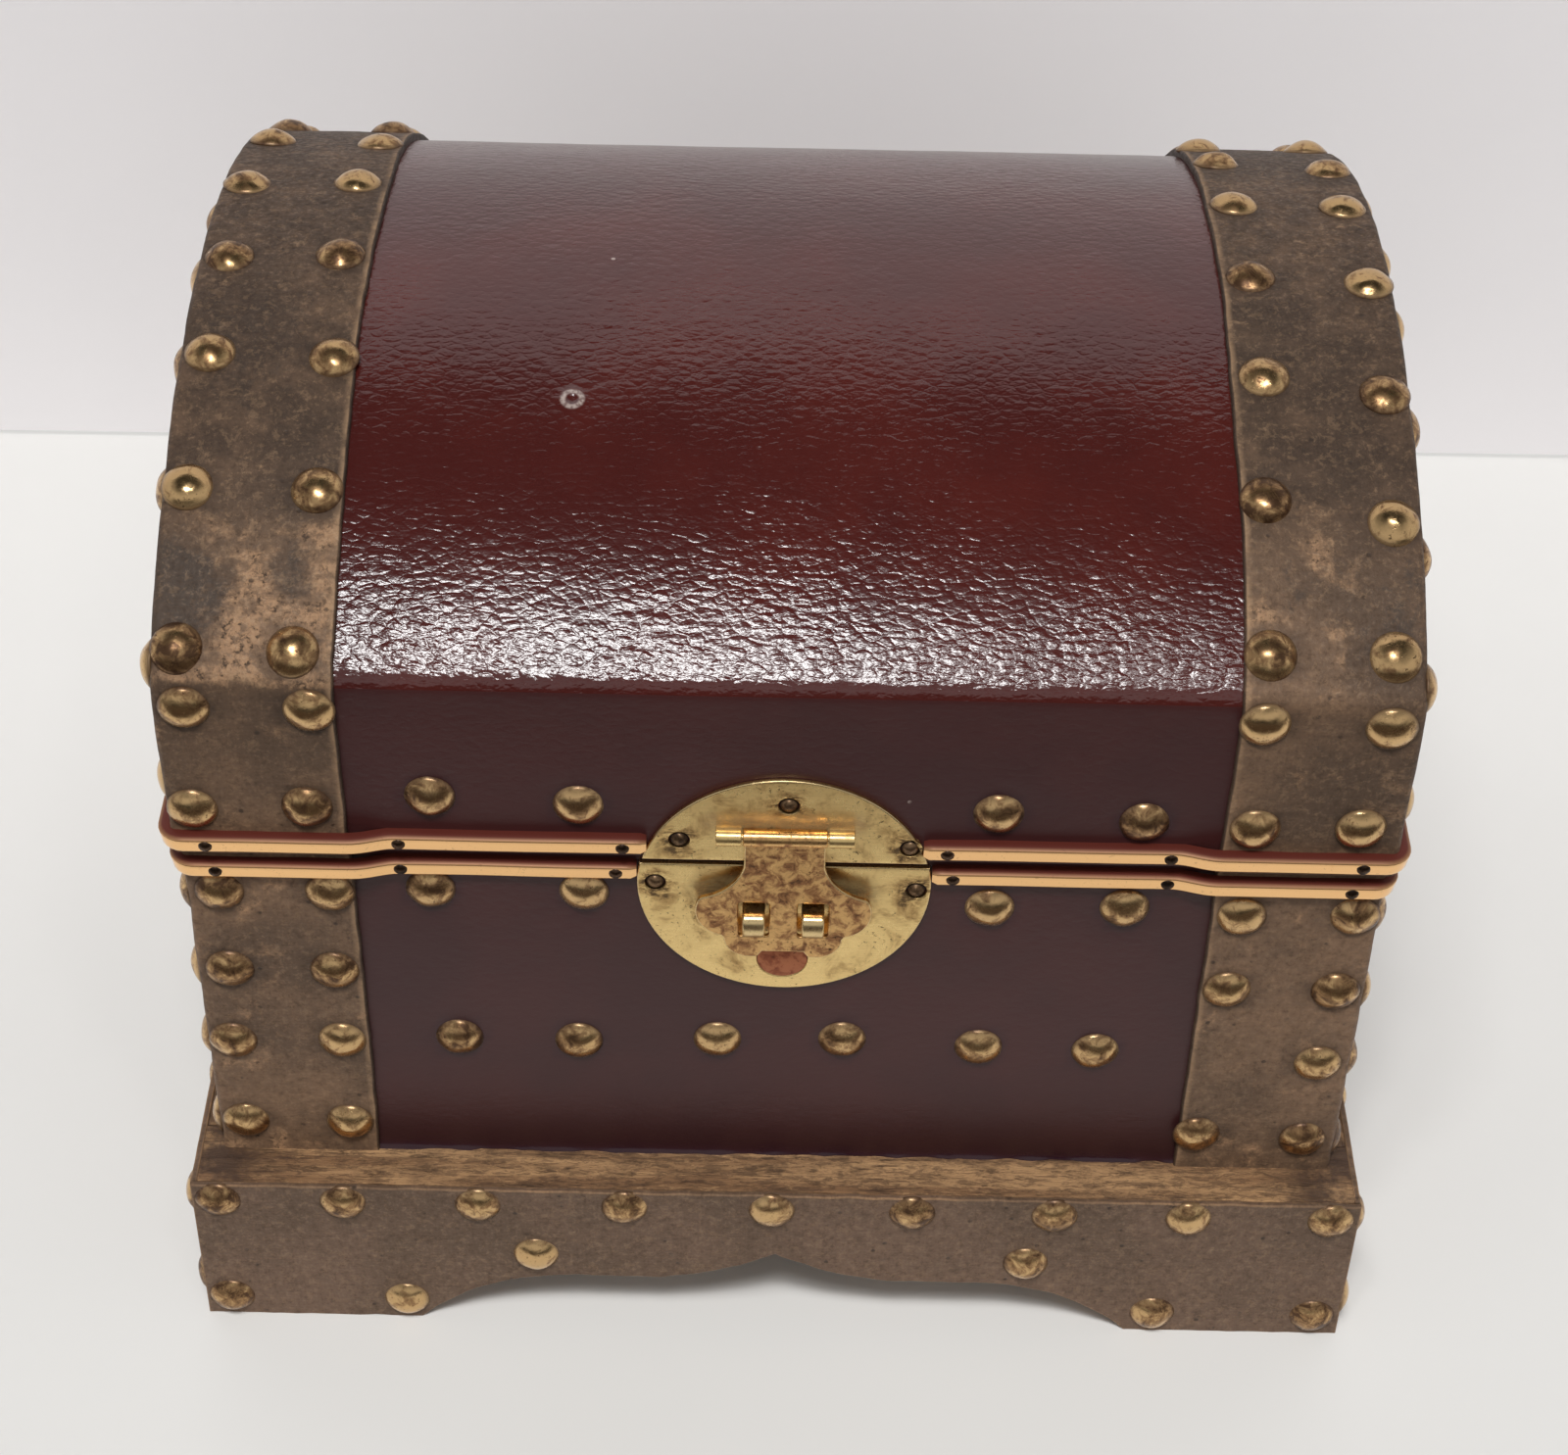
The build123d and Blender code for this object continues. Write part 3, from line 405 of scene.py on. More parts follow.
@dataclass(frozen=True)
class Hide:
    """Brown hide: mottled and matt, rubbed tan in places, with a faint linen print."""

    name: str
    brown: Colour = paint(128, 100, 77)
    tan: Colour = paint(184, 144, 108)
    ash: Colour = paint(94, 74, 58)
    soot_and_painted_shade: Colour = paint(50, 38, 30)
    char: Colour = paint(62, 55, 50)
    edge: Colour = paint(168, 136, 104)
    tan_reach: float = 0.56
    broad_size: float = 36 * MM
    rubbed_size: float = 16 * MM
    mottle_size: float = 6.5 * MM
    scorch_size: float = 4.5 * MM
    pit_gap: float = 3.4 * MM
    crumb_size: float = 2 * MM
    crack_size: float = 1.9 * MM
    fine_size: float = 1.2 * MM
    thread: float = 0.8 * MM
    shine: float = 0.38

    def build(self) -> bpy.types.Material:
        """Make the material. The shade mark lays painted shade on it, wear rubs it tan, char leaves it grey
        and dark.
        """
        g = Graph(self.name)
        place = g.place()
        wear, char = g.mark("wear"), g.mark("char")
        broad = g.noise(place, self.broad_size, 5, 0.62)
        mottle = g.noise(place, self.mottle_size, 6, 0.7)
        fine = g.noise(place, self.fine_size, 4, 0.68)
        g.colour = g.blend(g.spread(broad, 0.35, 0.62), self.ash, self.brown)
        g.coat(g.spread(mottle, 0.5, 0.68, 0, 0.55), self.ash)
        rubbed = g.math("ADD", g.noise(place, self.rubbed_size, 6, 0.72, 0.4), g.times(wear, 0.24))
        rubbed = g.math("SUBTRACT", rubbed, g.times(char, 0.3))
        rubbed = g.spread(rubbed, self.tan_reach, self.tan_reach + 0.16)
        rubbed = g.times(rubbed, g.spread(mottle, 0.4, 0.58, 0.15, 1))
        g.coat(rubbed, self.tan)
        cracks = g.spread(g.noise(place, self.crack_size, 6, 0.8, 0.7), 0.58, 0.62)
        g.coat(g.times(cracks, g.times(rubbed, 0.7)), self.soot_and_painted_shade)
        scorch = g.noise(place, self.scorch_size, 7, 0.78, 0.3)
        burnt = g.spread(g.math("ADD", scorch, g.times(char, 0.3)), 0.58, 0.78)
        g.coat(g.times(burnt, 0.75), self.char)
        # Painted shade where the shade mark lies, broken up by the mottle.
        shade = g.times(g.mark("shade"), g.spread(mottle, 0.3, 0.6, 0.35, 0.6))
        g.coat(shade, self.soot_and_painted_shade)
        harsh = g.math("ADD", g.times(rubbed, 0.65), 0.3)
        crumbs = g.noise(place, self.crumb_size, 7, 0.8, 0.4)
        g.coat(g.times(g.spread(crumbs, 0.5, 0.57, 0, 0.8), harsh), self.ash)
        g.coat(g.times(g.spread(crumbs, 0.47, 0.41, 0, 0.6), harsh), self.edge)
        g.coat(g.times(g.spread(fine, 0.53, 0.66), harsh), self.soot_and_painted_shade)
        g.coat(g.times(g.spread(fine, 0.45, 0.32, 0, 0.6), harsh), self.edge)
        pits = g.spread(g.cells(place, self.pit_gap), 0.17, 0.08)
        pits = g.times(pits, g.spread(mottle, 0.48, 0.58))
        g.coat(g.times(pits, 0.75), self.soot_and_painted_shade)
        # Grime and painted shadow round the nails and on the cut sides.
        g.coat(g.times(g.mark("grime"), 0.66), self.soot_and_painted_shade)
        rim = g.times(g.mark("rim"), g.spread(mottle, 0.36, 0.56, 0.1, 0.6))
        g.coat(rim, self.edge)
        linen = self.linen(g)
        g.coat(g.spread(linen, 0.8, 2.2, 0, 0.08), self.soot_and_painted_shade)
        rough = g.spread(fine, 0.3, 0.7, 0.5, 0.74)
        g.bump((linen, 0.2, 0.04 * MM), (fine, 0.7, 0.24 * MM), (mottle, 0.4, 0.55 * MM),
               (pits, 0.5, -0.2 * MM))
        return g.finish(rough, Specular_IOR_Level=self.shine)

    def linen(self, g: Graph) -> Socket:
        """Crossing threads along all three axes, broken up by noise."""
        total: object = 0.0
        for axis in ("X", "Y", "Z"):
            settings = {"wave_type": "BANDS", "bands_direction": axis, "wave_profile": "SIN"}
            inputs = {"Vector": g.place(), "Scale": WAVE_SCALE / self.thread, "Distortion": 2.5,
                      "Detail": 2.0, "Detail Scale": 1.5}
            wave = g.add("ShaderNodeTexWave", settings, inputs).outputs["Fac"]
            total = g.math("ADD", wave, total)
        return total


@dataclass(frozen=True)
class Wood:
    """Bare wood with its grain along one axis."""

    name: str
    light: Colour
    middle: Colour
    dark: Colour
    grain: tuple[float, float, float]
    soiled: float = 0.5
    tips: float = 0.0
    tips_ease: float = 14 * MM
    band_size: float = 5 * MM
    dirt_size: float = 9 * MM
    fibre_size: float = 1.5 * MM
    gouge_size: float = 1.6 * MM
    flake_size: float = 1.1 * MM
    nick_size: float = 0.9 * MM
    splinter_size: float = 0.8 * MM

    @property
    def coarse(self) -> tuple[float, ...]:
        """The grain, stretched less, for torn fibres."""
        return tuple(0.3 if share < 1 else 1.0 for share in self.grain)

    def build(self) -> bpy.types.Material:
        """Make the material."""
        g = Graph(self.name)
        along = g.place(self.grain)
        place = g.place()
        fibre = g.noise(along, self.fibre_size, 6, 0.7, 0.3)
        band = g.noise(along, self.band_size, 3, 0.55, 0.6)
        g.colour = g.blend(g.spread(band, 0.36, 0.62), self.middle, self.light)
        g.coat(g.spread(fibre, 0.52, 0.68, 0, 0.8), self.dark)
        dirt = g.noise(place, self.dirt_size, 7, 0.75)
        g.coat(g.spread(dirt, 0.5, 0.66, 0, 0.6 * self.soiled), self.dark)
        splinters = g.spread(g.noise(g.place(self.coarse), self.splinter_size, 4, 0.7), 0.54, 0.64)
        g.coat(g.times(splinters, 0.75), self.light)
        gouges = g.spread(g.noise(g.place(self.coarse), self.gouge_size, 5, 0.7), 0.56, 0.68)
        g.coat(g.times(gouges, self.soiled), self.dark)
        nicks = g.spread(g.noise(g.place(self.grain), self.nick_size, 2, 0.5), 0.66, 0.72)
        g.coat(g.times(nicks, 0.7 * self.soiled), self.dark)
        flakes = g.noise(g.place(self.coarse), self.flake_size, 7, 0.8, 0.4)
        g.coat(g.spread(flakes, 0.48, 0.56, 0, 0.8 * self.soiled), self.dark)
        if self.tips:
            across = g.add("ShaderNodeSeparateXYZ", inputs={0: place}).outputs["X"]
            tips = g.spread(g.math("ABSOLUTE", across), self.tips, self.tips + self.tips_ease)
            g.coat(g.times(tips, g.spread(dirt, 0.36, 0.56, 0.2, 0.9)), self.dark)
        rough = g.spread(fibre, 0.3, 0.7, 0.45, 0.68)
        g.bump((fibre, 0.8, 0.4 * MM), (band, 0.4, 0.5 * MM), (nicks, 0.6, -0.4 * MM),
               (dirt, 0.5, 0.6 * MM), (gouges, 0.8 * self.soiled, -0.5 * MM),
               (flakes, self.soiled, -1.2 * MM))
        return g.finish(rough, Specular_IOR_Level=0.4)


@dataclass(frozen=True)
class Felt:
    """Dark red felt with a short pile."""

    name: str = "felt_lining"
    pile: Colour = paint(122, 30, 34)
    hollow: Colour = paint(82, 18, 24)
    fuzz_size: float = 0.7 * MM
    brushed_size: float = 22 * MM

    def build(self) -> bpy.types.Material:
        """Make the material."""
        g = Graph(self.name)
        place = g.place()
        fuzz = g.noise(place, self.fuzz_size, 6, 0.75, 1.2)
        brushed = g.noise(place, self.brushed_size, 3, 0.5)
        g.colour = g.blend(g.spread(fuzz, 0.35, 0.65), self.hollow, self.pile)
        g.coat(g.spread(brushed, 0.4, 0.65, 0, 0.35), self.hollow)
        g.bump((fuzz, 0.8, 0.35 * MM), (brushed, 0.2, 0.8 * MM))
        return g.finish(0.95, Sheen_Weight=0.35, Specular_IOR_Level=0.2)


@dataclass(frozen=True)
class Metal:
    """A copper alloy, bright where it is rubbed, with crisp dark tarnish where it is not."""

    name: str
    bright: Colour
    dull: Colour
    dark: Colour
    gloss: float = 0.2
    matt: float = 0.42
    tarnish: float = 0.5
    patch: float = 5 * MM
    dents: float = 0.12 * MM
    brushed: float = 0.0
    pitted: float = 0.4
    halos: tuple[Vector, ...] = field(default=(), compare=False)
    halo_reach: float = 6 * MM
    films_and_painted_shade: tuple[tuple[Sequence[float], float, float, Colour], ...] = ()
    dent_size: float = 2.6 * MM
    smear_size: float = 1.3 * MM
    streak_size: float = 1.6 * MM
    pit_size: float = 0.8 * MM
    pit_patch: float = 7 * MM
    line_size: float = 0.18 * MM
    shine: float = 0.5

    def build(self) -> bpy.types.Material:
        """Make the material."""
        g = Graph(self.name)
        place = g.place()
        cloud = g.noise(place, self.patch, 6, 0.68, 0.5)
        cloud = g.math("ADD", cloud, g.times(g.mark("tone"), 0.1))
        if self.halos:
            smear = g.noise(g.place((0.45, 1, 1)), self.smear_size, 5, 0.75, 0.6)
            ragged = g.times(g.near(self.halos, self.halo_reach), g.spread(smear, 0.36, 0.6))
            cloud = g.math("ADD", cloud, g.times(ragged, 0.38))
        start = 0.72 - 0.36 * self.tarnish
        veil = g.spread(cloud, start, start + 0.16)
        g.colour = g.blend(veil, self.bright, self.dull)
        deep = g.spread(cloud, start + 0.13, start + 0.27, 0, 0.9)
        g.coat(deep, self.dark)
        fine = g.noise(place, self.pit_size, 4, 0.68, 0.4)
        pits = g.times(g.spread(fine, 0.6, 0.66, 0, self.pitted),
                       g.spread(g.noise(place, self.pit_patch, 2), 0.42, 0.6))
        g.coat(pits, self.dark)
        # Grime and painted shade in the dark colour, where the mark lies.
        g.coat(g.mark("grime"), self.dark)
        rough = g.spread(g.math("ADD", cloud, g.times(fine, 0.25)), start - 0.05, start + 0.42, self.gloss,
                         self.matt)
        rough = g.math("MAXIMUM", rough, g.times(g.mark("grime"), 0.55))
        layers = [(g.noise(place, self.dent_size, 2, 0.5), 0.35, self.dents), (pits, 0.3, -0.06 * MM)]
        if self.brushed:
            lines = g.noise(g.place((0.03, 1, 1)), self.line_size, 3, 0.6)
            g.coat(g.spread(lines, 0.5, 0.75, 0, 0.4 * self.brushed), self.dull)
            layers.append((lines, 0.3 * self.brushed, 0.03 * MM))
        g.bump(*layers)
        # Less metallic where deep tarnish, grime, painted shade and the films lie.
        dirt = g.math("MAXIMUM", g.times(deep, 0.4), g.mark("grime"))
        # The films darken bands of the plate: dirt above the barrel, and painted shade in the recess round
        # the tongue.
        for middle, half, reach, shade in self.films_and_painted_shade:
            streaks = g.noise(g.place((0.5, 1, 1)), self.streak_size, 5, 0.72, 0.5)
            streaks = g.spread(streaks, 0.34, 0.58, 0.45, 1)
            film = g.times(g.near_bar(middle, half, reach), streaks)
            g.coat(film, shade)
            dirt = g.math("MAXIMUM", dirt, film)
        return g.finish(rough, g.spread(dirt, 0, 1, 1, 0.25), Specular_IOR_Level=self.shine)


@dataclass(frozen=True)
class PalePaper:
    """The plain pale ground and backdrop."""

    name: str
    shade: Colour
    one_sided: bool = False
    dark_from: float = 0.0
    room: Colour = paint(58, 44, 38)

    def build(self) -> bpy.types.Material:
        """Make the material. Only the camera sees it pale in front, where the dark of the room begins."""
        g = Graph(self.name)
        cloud = g.noise(g.place(), 180 * MM, 3)
        darker = tuple(0.97 * c for c in self.shade[:3]) + (1.0,)
        g.colour = g.blend(g.spread(cloud, 0.3, 0.7), darker, self.shade)
        if self.dark_from:
            depth = g.add("ShaderNodeSeparateXYZ", inputs={0: g.place()}).outputs["Y"]
            far = g.spread(depth, -self.dark_from, -1.7 * self.dark_from)
            seen = g.add("ShaderNodeLightPath").outputs["Is Camera Ray"]
            g.coat(g.times(far, g.math("SUBTRACT", 1.0, seen)), self.room)
        material = g.finish(0.6)
        if self.one_sided:
            output = next(n for n in g.tree.nodes if n.type == "OUTPUT_MATERIAL")
            back = g.add("ShaderNodeNewGeometry").outputs["Backfacing"]
            clear = g.add("ShaderNodeBsdfTransparent").outputs["BSDF"]
            inputs = {0: back, 1: g.surface.outputs["BSDF"], 2: clear}
            mixed = g.add("ShaderNodeMixShader", inputs=inputs).outputs["Shader"]
            g.feed(output.inputs["Surface"], mixed)
        return material


class Shape:
    """Points and faces of one piece while it is built, with the marks that its finish reads."""

    def __init__(self) -> None:
        """Start empty."""
        self.points: list[tuple[float, float, float]] = []
        self.faces: list[tuple[int, ...]] = []
        self.second: list[bool] = []
        self.marks: dict[str, list[float]] = {}

    def add(self, points: np.ndarray, faces: Iterable[Sequence[int]], second: bool = False,
            **marks: np.ndarray | float) -> None:
        """Add points and faces.

        Args:
            points: places in metres, one row each.
            faces: corner numbers within these points.
            second: whether the faces take the piece's second finish.
            marks: values for the points, by name.
        """
        start = len(self.points)
        self.points += [tuple(p) for p in points]
        added = [tuple(start + i for i in face) for face in faces]
        self.faces += added
        self.second += [second] * len(added)
        for name in set(self.marks) | set(marks):
            row = self.marks.setdefault(name, [])
            row += [0.0] * (start - len(row))
            values = np.broadcast_to(marks.get(name, 0.0), len(points))
            row += [float(v) for v in values]

    def sweep(self, sections: np.ndarray, closed: bool = False, **marks: np.ndarray | float) -> None:
        """Join closed sections, one after the other, into a solid.

        Args:
            sections: section, point and coordinate, in metres.
            closed: whether the last section joins the first.
            marks: values for the points, by name.
        """
        rows, count, _ = sections.shape
        faces = []
        for row in range(rows if closed else rows - 1):
            here, there = row * count, (row + 1) % rows * count
            for i in range(count):
                j = (i + 1) % count
                faces.append((here + i, here + j, there + j, there + i))
        if not closed:
            faces.append(tuple(range(count))[::-1])
            faces.append(tuple((rows - 1) * count + i for i in range(count)))
        self.add(sections.reshape(-1, 3), faces, **marks)

    def lathe(self, profile: Sequence[Point], matrix: Matrix, around: int = 24,
              **marks: np.ndarray | float) -> None:
        """Turn a profile about the matrix's Z.

        Args:
            profile: radius and height pairs. A radius of zero closes the end.
            matrix: the place of the profile.
            around: points around the axis.
            marks: values for the points, by name.
        """
        points: list[Vector] = []
        rings: list[list[int]] = []
        angles = [2 * math.pi * i / around for i in range(around)]
        for radius, height in profile:
            first, closed = len(points), radius < 1e-9
            rings.append([first] * around if closed else [first + i for i in range(around)])
            for angle in angles[:1] if closed else angles:
                points.append(Vector((radius * math.cos(angle), radius * math.sin(angle), height)))
        faces = []
        for lower, upper in zip(rings, rings[1:]):
            for i in range(around):
                j = (i + 1) % around
                faces.append(tuple(dict.fromkeys((lower[i], lower[j], upper[j], upper[i]))))
        self.add(np.array([matrix @ p for p in points]), faces, **marks)

    def add_mesh(self, mesh: bpy.types.Mesh, matrix: Matrix) -> None:
        """Take over a mesh at a place, its second finish too, and remove the mesh."""
        points = np.array([matrix @ v.co for v in mesh.vertices])
        for flag in (False, True):
            chosen = [tuple(p.vertices) for p in mesh.polygons if bool(p.material_index) == flag]
            if not chosen:
                continue
            used = sorted({i for face in chosen for i in face})
            number = {old: new for new, old in enumerate(used)}
            self.add(points[used], [[number[i] for i in face] for face in chosen], second=flag)
        bpy.data.meshes.remove(mesh)

    def make(self, name: str, finishes: Sequence[bpy.types.Material], sharp: float = 35,
             weighted: bool = False) -> bpy.types.Object:
        """Make the piece.

        Args:
            name: the piece's name.
            finishes: its finish, and a second one for the faces that take it.
            sharp: edges that turn by more than this many degrees stay crisp.
            weighted: whether flat faces keep their shading flat next to rounded edges.

        Returns:
            The piece, in the scene.
        """
        mesh = bpy.data.meshes.new(name)
        mesh.from_pydata(self.points, [], self.faces)
        for mark, values in self.marks.items():
            mesh.attributes.new(mark, "FLOAT", "POINT").data.foreach_set("value", values)
        mesh.polygons.foreach_set("material_index", [int(s) for s in self.second])
        work = bmesh.new()
        work.from_mesh(mesh)
        bmesh.ops.remove_doubles(work, verts=work.verts, dist=1e-7)
        bmesh.ops.recalc_face_normals(work, faces=work.faces)
        work.to_mesh(mesh)
        work.free()
        for finish in finishes:
            mesh.materials.append(finish)
        mesh.polygons.foreach_set("use_smooth", [True] * len(mesh.polygons))
        mesh.set_sharp_from_angle(angle=math.radians(sharp))
        piece = bpy.data.objects.new(name, mesh)
        bpy.context.scene.collection.objects.link(piece)
        if weighted:
            modifier = piece.modifiers.new("even_shading", "WEIGHTED_NORMAL")
            modifier.keep_sharp = True
        return piece


def cut_plate(loops: Sequence[Sequence[Point]], thickness: float, bevel: float,
              worn_edge: bool = False) -> bpy.types.Mesh:
    """Cut a flat plate with holes and rounded edges, its back on the XY plane.

    Args:
        loops: the outline first, then the holes.
        thickness: the plate's thickness.
        bevel: radius of its edges.
        worn_edge: whether the rounded edges take the second finish.

    Returns:
        The plate's mesh.
    """
    curve = bpy.data.curves.new("cut", "CURVE")
    curve.dimensions = "2D"
    curve.fill_mode = "BOTH"
    curve.extrude = thickness / 2 - bevel
    curve.bevel_depth = bevel
    curve.bevel_resolution = 2
    curve.offset = -bevel
    for loop in loops:
        spline = curve.splines.new("POLY")
        spline.points.add(len(loop) - 1)
        for point, (x, y) in zip(spline.points, loop):
            point.co = (x, y, 0, 1)
        spline.use_cyclic_u = True
    carrier = bpy.data.objects.new("cut", curve)
    bpy.context.scene.collection.objects.link(carrier)
    bpy.context.view_layer.update()
    depsgraph = bpy.context.evaluated_depsgraph_get()
    mesh = bpy.data.meshes.new_from_object(carrier.evaluated_get(depsgraph))
    bpy.data.objects.remove(carrier)
    bpy.data.curves.remove(curve)
    mesh.transform(Matrix.Translation((0, 0, thickness / 2)))
    holes = []
    for hole in loops[1:]:
        middle = Vector((*np.mean(hole, axis=0), 0))
        holes.append((middle, max(math.dist(middle[:2], p) for p in hole) + 2 * bevel))
    for polygon in mesh.polygons:
        rounded = 0.05 < abs(polygon.normal.z) < 0.999
        inside = any((polygon.center.xy - middle.xy).length < reach for middle, reach in holes)
        polygon.material_index = int(worn_edge and rounded and not inside)
    return mesh


def arc_points(middle: Point, radius: float, start: float, stop: float, count: int) -> list[Point]:
    """Points along an arc.

    Args:
        middle: the arc's centre.
        radius: its radius.
        start: first angle in degrees.
        stop: last angle in degrees.
        count: number of points.

    Returns:
        The points, both ends included.
    """
    angles = np.radians(np.linspace(start, stop, count))
    return [(middle[0] + radius * math.cos(a), middle[1] + radius * math.sin(a)) for a in angles]


def arc_through(first: Point, second: Point, third: Point, count: int) -> list[Point]:
    """Points along the arc through three points, both ends included."""
    (ax, ay), (bx, by), (cx, cy) = first, second, third
    double = 2 * (ax * (by - cy) + bx * (cy - ay) + cx * (ay - by))
    a2, b2, c2 = ax * ax + ay * ay, bx * bx + by * by, cx * cx + cy * cy
    middle = ((a2 * (by - cy) + b2 * (cy - ay) + c2 * (ay - by)) / double,
              (a2 * (cx - bx) + b2 * (ax - cx) + c2 * (bx - ax)) / double)
    radius = math.dist(middle, first)
    start = math.atan2(ay - middle[1], ax - middle[0])
    stop = math.atan2(cy - middle[1], cx - middle[0])
    turn = (stop - start + math.pi) % (2 * math.pi) - math.pi
    return arc_points(middle, radius, math.degrees(start), math.degrees(start + turn), count)


def cap_profile(radius: float, height: float, steps: int) -> list[Point]:
    """Radius and height pairs of a shallow round cap.

    Args:
        radius: radius of its rim.
        height: height of its crown.
        steps: steps from the crown down to the rim.

    Returns:
        The pairs, crown first.
    """
    sphere = (radius**2 + height**2) / (2 * height)
    half = math.asin(radius / sphere)
    angles = [half * i / steps for i in range(steps + 1)]
    return [(sphere * math.sin(a), sphere * math.cos(a) - sphere + height) for a in angles]


def densify(loop: Sequence[Point], step: float) -> list[Point]:
    """Split the long straight runs of a closed outline.

    Args:
        loop: the outline's points.
        step: the longest run that stays.

    Returns:
        The outline with more points.
    """
    points: list[Point] = []
    for (x0, y0), (x1, y1) in zip(loop, [*loop[1:], loop[0]]):
        parts = max(1, math.ceil(math.hypot(x1 - x0, y1 - y0) / step))
        points += [(x0 + (x1 - x0) * i / parts, y0 + (y1 - y0) * i / parts) for i in range(parts)]
    return points


@dataclass(frozen=True)
class NailPlace:
    """Where a nail sits: the crown of its head, and the way that it points out."""

    crown: Vector
    outwards: Vector


def find_nails(node: str) -> list[NailPlace]:
    """Read the places of the nails that a CAD node holds.

    Args:
        node: the node's name.

    Returns:
        One place for each separate solid. The tip of a shank is the point farthest from the solid's
        middle, and the crown is the point farthest from that tip.
    """
    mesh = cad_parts[node].data
    points = np.array([v.co for v in mesh.vertices])
    _, spot = np.unique(np.round(points, 7), axis=0, return_inverse=True)
    spot = spot.ravel()
    parent = list(range(int(spot.max()) + 1))

    def root(i: int) -> int:
        """The group that a point belongs to."""
        while parent[i] != i:
            parent[i] = parent[parent[i]]
            i = parent[i]
        return i

    for polygon in mesh.polygons:
        corners = [int(spot[i]) for i in polygon.vertices]
        for other in corners[1:]:
            parent[root(other)] = root(corners[0])
    groups: dict[int, list[int]] = {}
    for i, s in enumerate(spot):
        groups.setdefault(root(int(s)), []).append(i)
    places = []
    for members in groups.values():
        solid = np.unique(np.round(points[members], 7), axis=0)
        tip = solid[np.argmax(((solid - solid.mean(0)) ** 2).sum(1))]
        crown = solid[np.argmax(((solid - tip) ** 2).sum(1))]
        places.append(NailPlace(Vector(crown), (Vector(crown) - Vector(tip)).normalized()))
    return sorted(places, key=lambda p: tuple(round(c, 5) for c in p.crown))


@dataclass(frozen=True)
class Nail:
    """A domed nail. Its head is thin pressed metal, so no two are dented alike."""

    radius: float
    height: float
    shank: float
    length: float
    dent: float = 0.0
    tilt: float = 0.0
    sink: float = 0.0
    around: int = 26
    rings: int = 8

    def profile(self) -> list[Point]:
        """Radius and height pairs from the crown down to the tip of the shank."""
        points = cap_profile(self.radius, self.height, self.rings)
        lip = 0.06 * self.radius
        points += [(self.radius, -lip), (self.radius - lip, -1.6 * lip), (self.shank, -1.6 * lip)]
        points += [(self.shank, 0.2 * self.length - self.length), (0, -self.length)]
        return points

    def shape_head(self, points: np.ndarray, chance: random.Random) -> np.ndarray:
        """Dent a head.

        Args:
            points: the nail's own points, crown up.
            chance: the source of its differences.

        Returns:
            The moved points.
        """
        shift = Vector([chance.uniform(0, 90) for _ in range(3)])
        crown = self.height * chance.uniform(0.9, 1.06)
        facets = []
        for _ in range(chance.choice((0, 1, 1, 2))):
            turn, lean = chance.uniform(0, 2 * math.pi), chance.uniform(0.25, 0.75)
            facet = Vector((math.cos(turn) * lean, math.sin(turn) * lean, 1)).normalized()
            facets.append((facet, chance.uniform(0.55, 0.9)))
        moved = []
        for point in points:
            p = Vector(point)
            if p.z > 0:
                p.z *= crown / self.height
                bend = noise.noise(p / (0.75 * self.radius) + shift)
                p *= 1 + self.dent * bend
                for facet, keep in facets:
                    reach = facet.z * self.height + (1 - facet.z) * self.radius * 0.62
                    over = p.dot(facet) - reach * (0.9 + 0.1 * keep)
                    if over > 0:
                        p -= facet * over * self.dent * 9 * (1 - keep)
            moved.append(p)
        return np.array(moved)

    def drive(self, shape: Shape, places: Iterable[NailPlace], seed: int) -> None:
        """Add this nail at each place.

        Args:
            shape: the piece that gets the nails.
            places: the places.
            seed: makes each set differ.
        """
        chance = random.Random(seed)
        profile = self.profile()
        for place in places:
            one = Shape()
            one.lathe(profile, Matrix.Identity(4), self.around)
            points = self.shape_head(np.array(one.points), chance) if self.dent else np.array(one.points)
            lean = Vector((chance.uniform(-1, 1), chance.uniform(-1, 1), 0)) * self.tilt
            spin = Matrix.Rotation(chance.uniform(0, 2 * math.pi), 4, "Z")
            turn = (place.outwards + lean).to_track_quat("Z", "Y").to_matrix().to_4x4()
            base = place.crown - place.outwards * (self.height + self.sink)
            matrix = Matrix.Translation(base) @ turn @ spin
            heights = points[:, 2]
            # The head darkens towards its rim, where it meets the surface: grime and painted contact
            # shadow.
            grime = np.clip(1 - heights / (0.45 * self.height), 0, 1) ** 1.4
            shape.add(np.array([matrix @ Vector(p) for p in points]), one.faces,
                      tone=chance.uniform(-1, 1), grime=grime * 0.8)


STUD = Nail(4.5 * MM, 2.3 * MM, 0.7 * MM, 6 * MM, dent=0.07, tilt=0.05, sink=0.12 * MM)
RIM_PIN = Nail(1.2 * MM, 0.5 * MM, 0.45 * MM, 6 * MM, dent=0.05, around=14, rings=4)
PLATE_NAIL = Nail(1.5 * MM, 0.85 * MM, 0.6 * MM, 5.5 * MM, dent=0.1, sink=0.15 * MM, around=18, rings=6)
HINGE_NAIL = Nail(1.7 * MM, 0.7 * MM, 0.6 * MM, 5.5 * MM, dent=0.05, around=18, rings=5)


def place_piece(piece: bpy.types.Object, body: Body, slot: Slot, *nodes: str) -> bpy.types.Object:
    """Hang a piece on its body.

    Args:
        piece: the finished piece.
        body: the body that it moves with.
        slot: the record's slot for its finish; not used.
        nodes: the CAD nodes that it stands for.

    Returns:
        The same piece.
    """
    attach(piece, body.value)
    if nodes:
        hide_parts(*nodes)
    LOG.info("%s rides on %s", piece.name, body.value)
    return piece


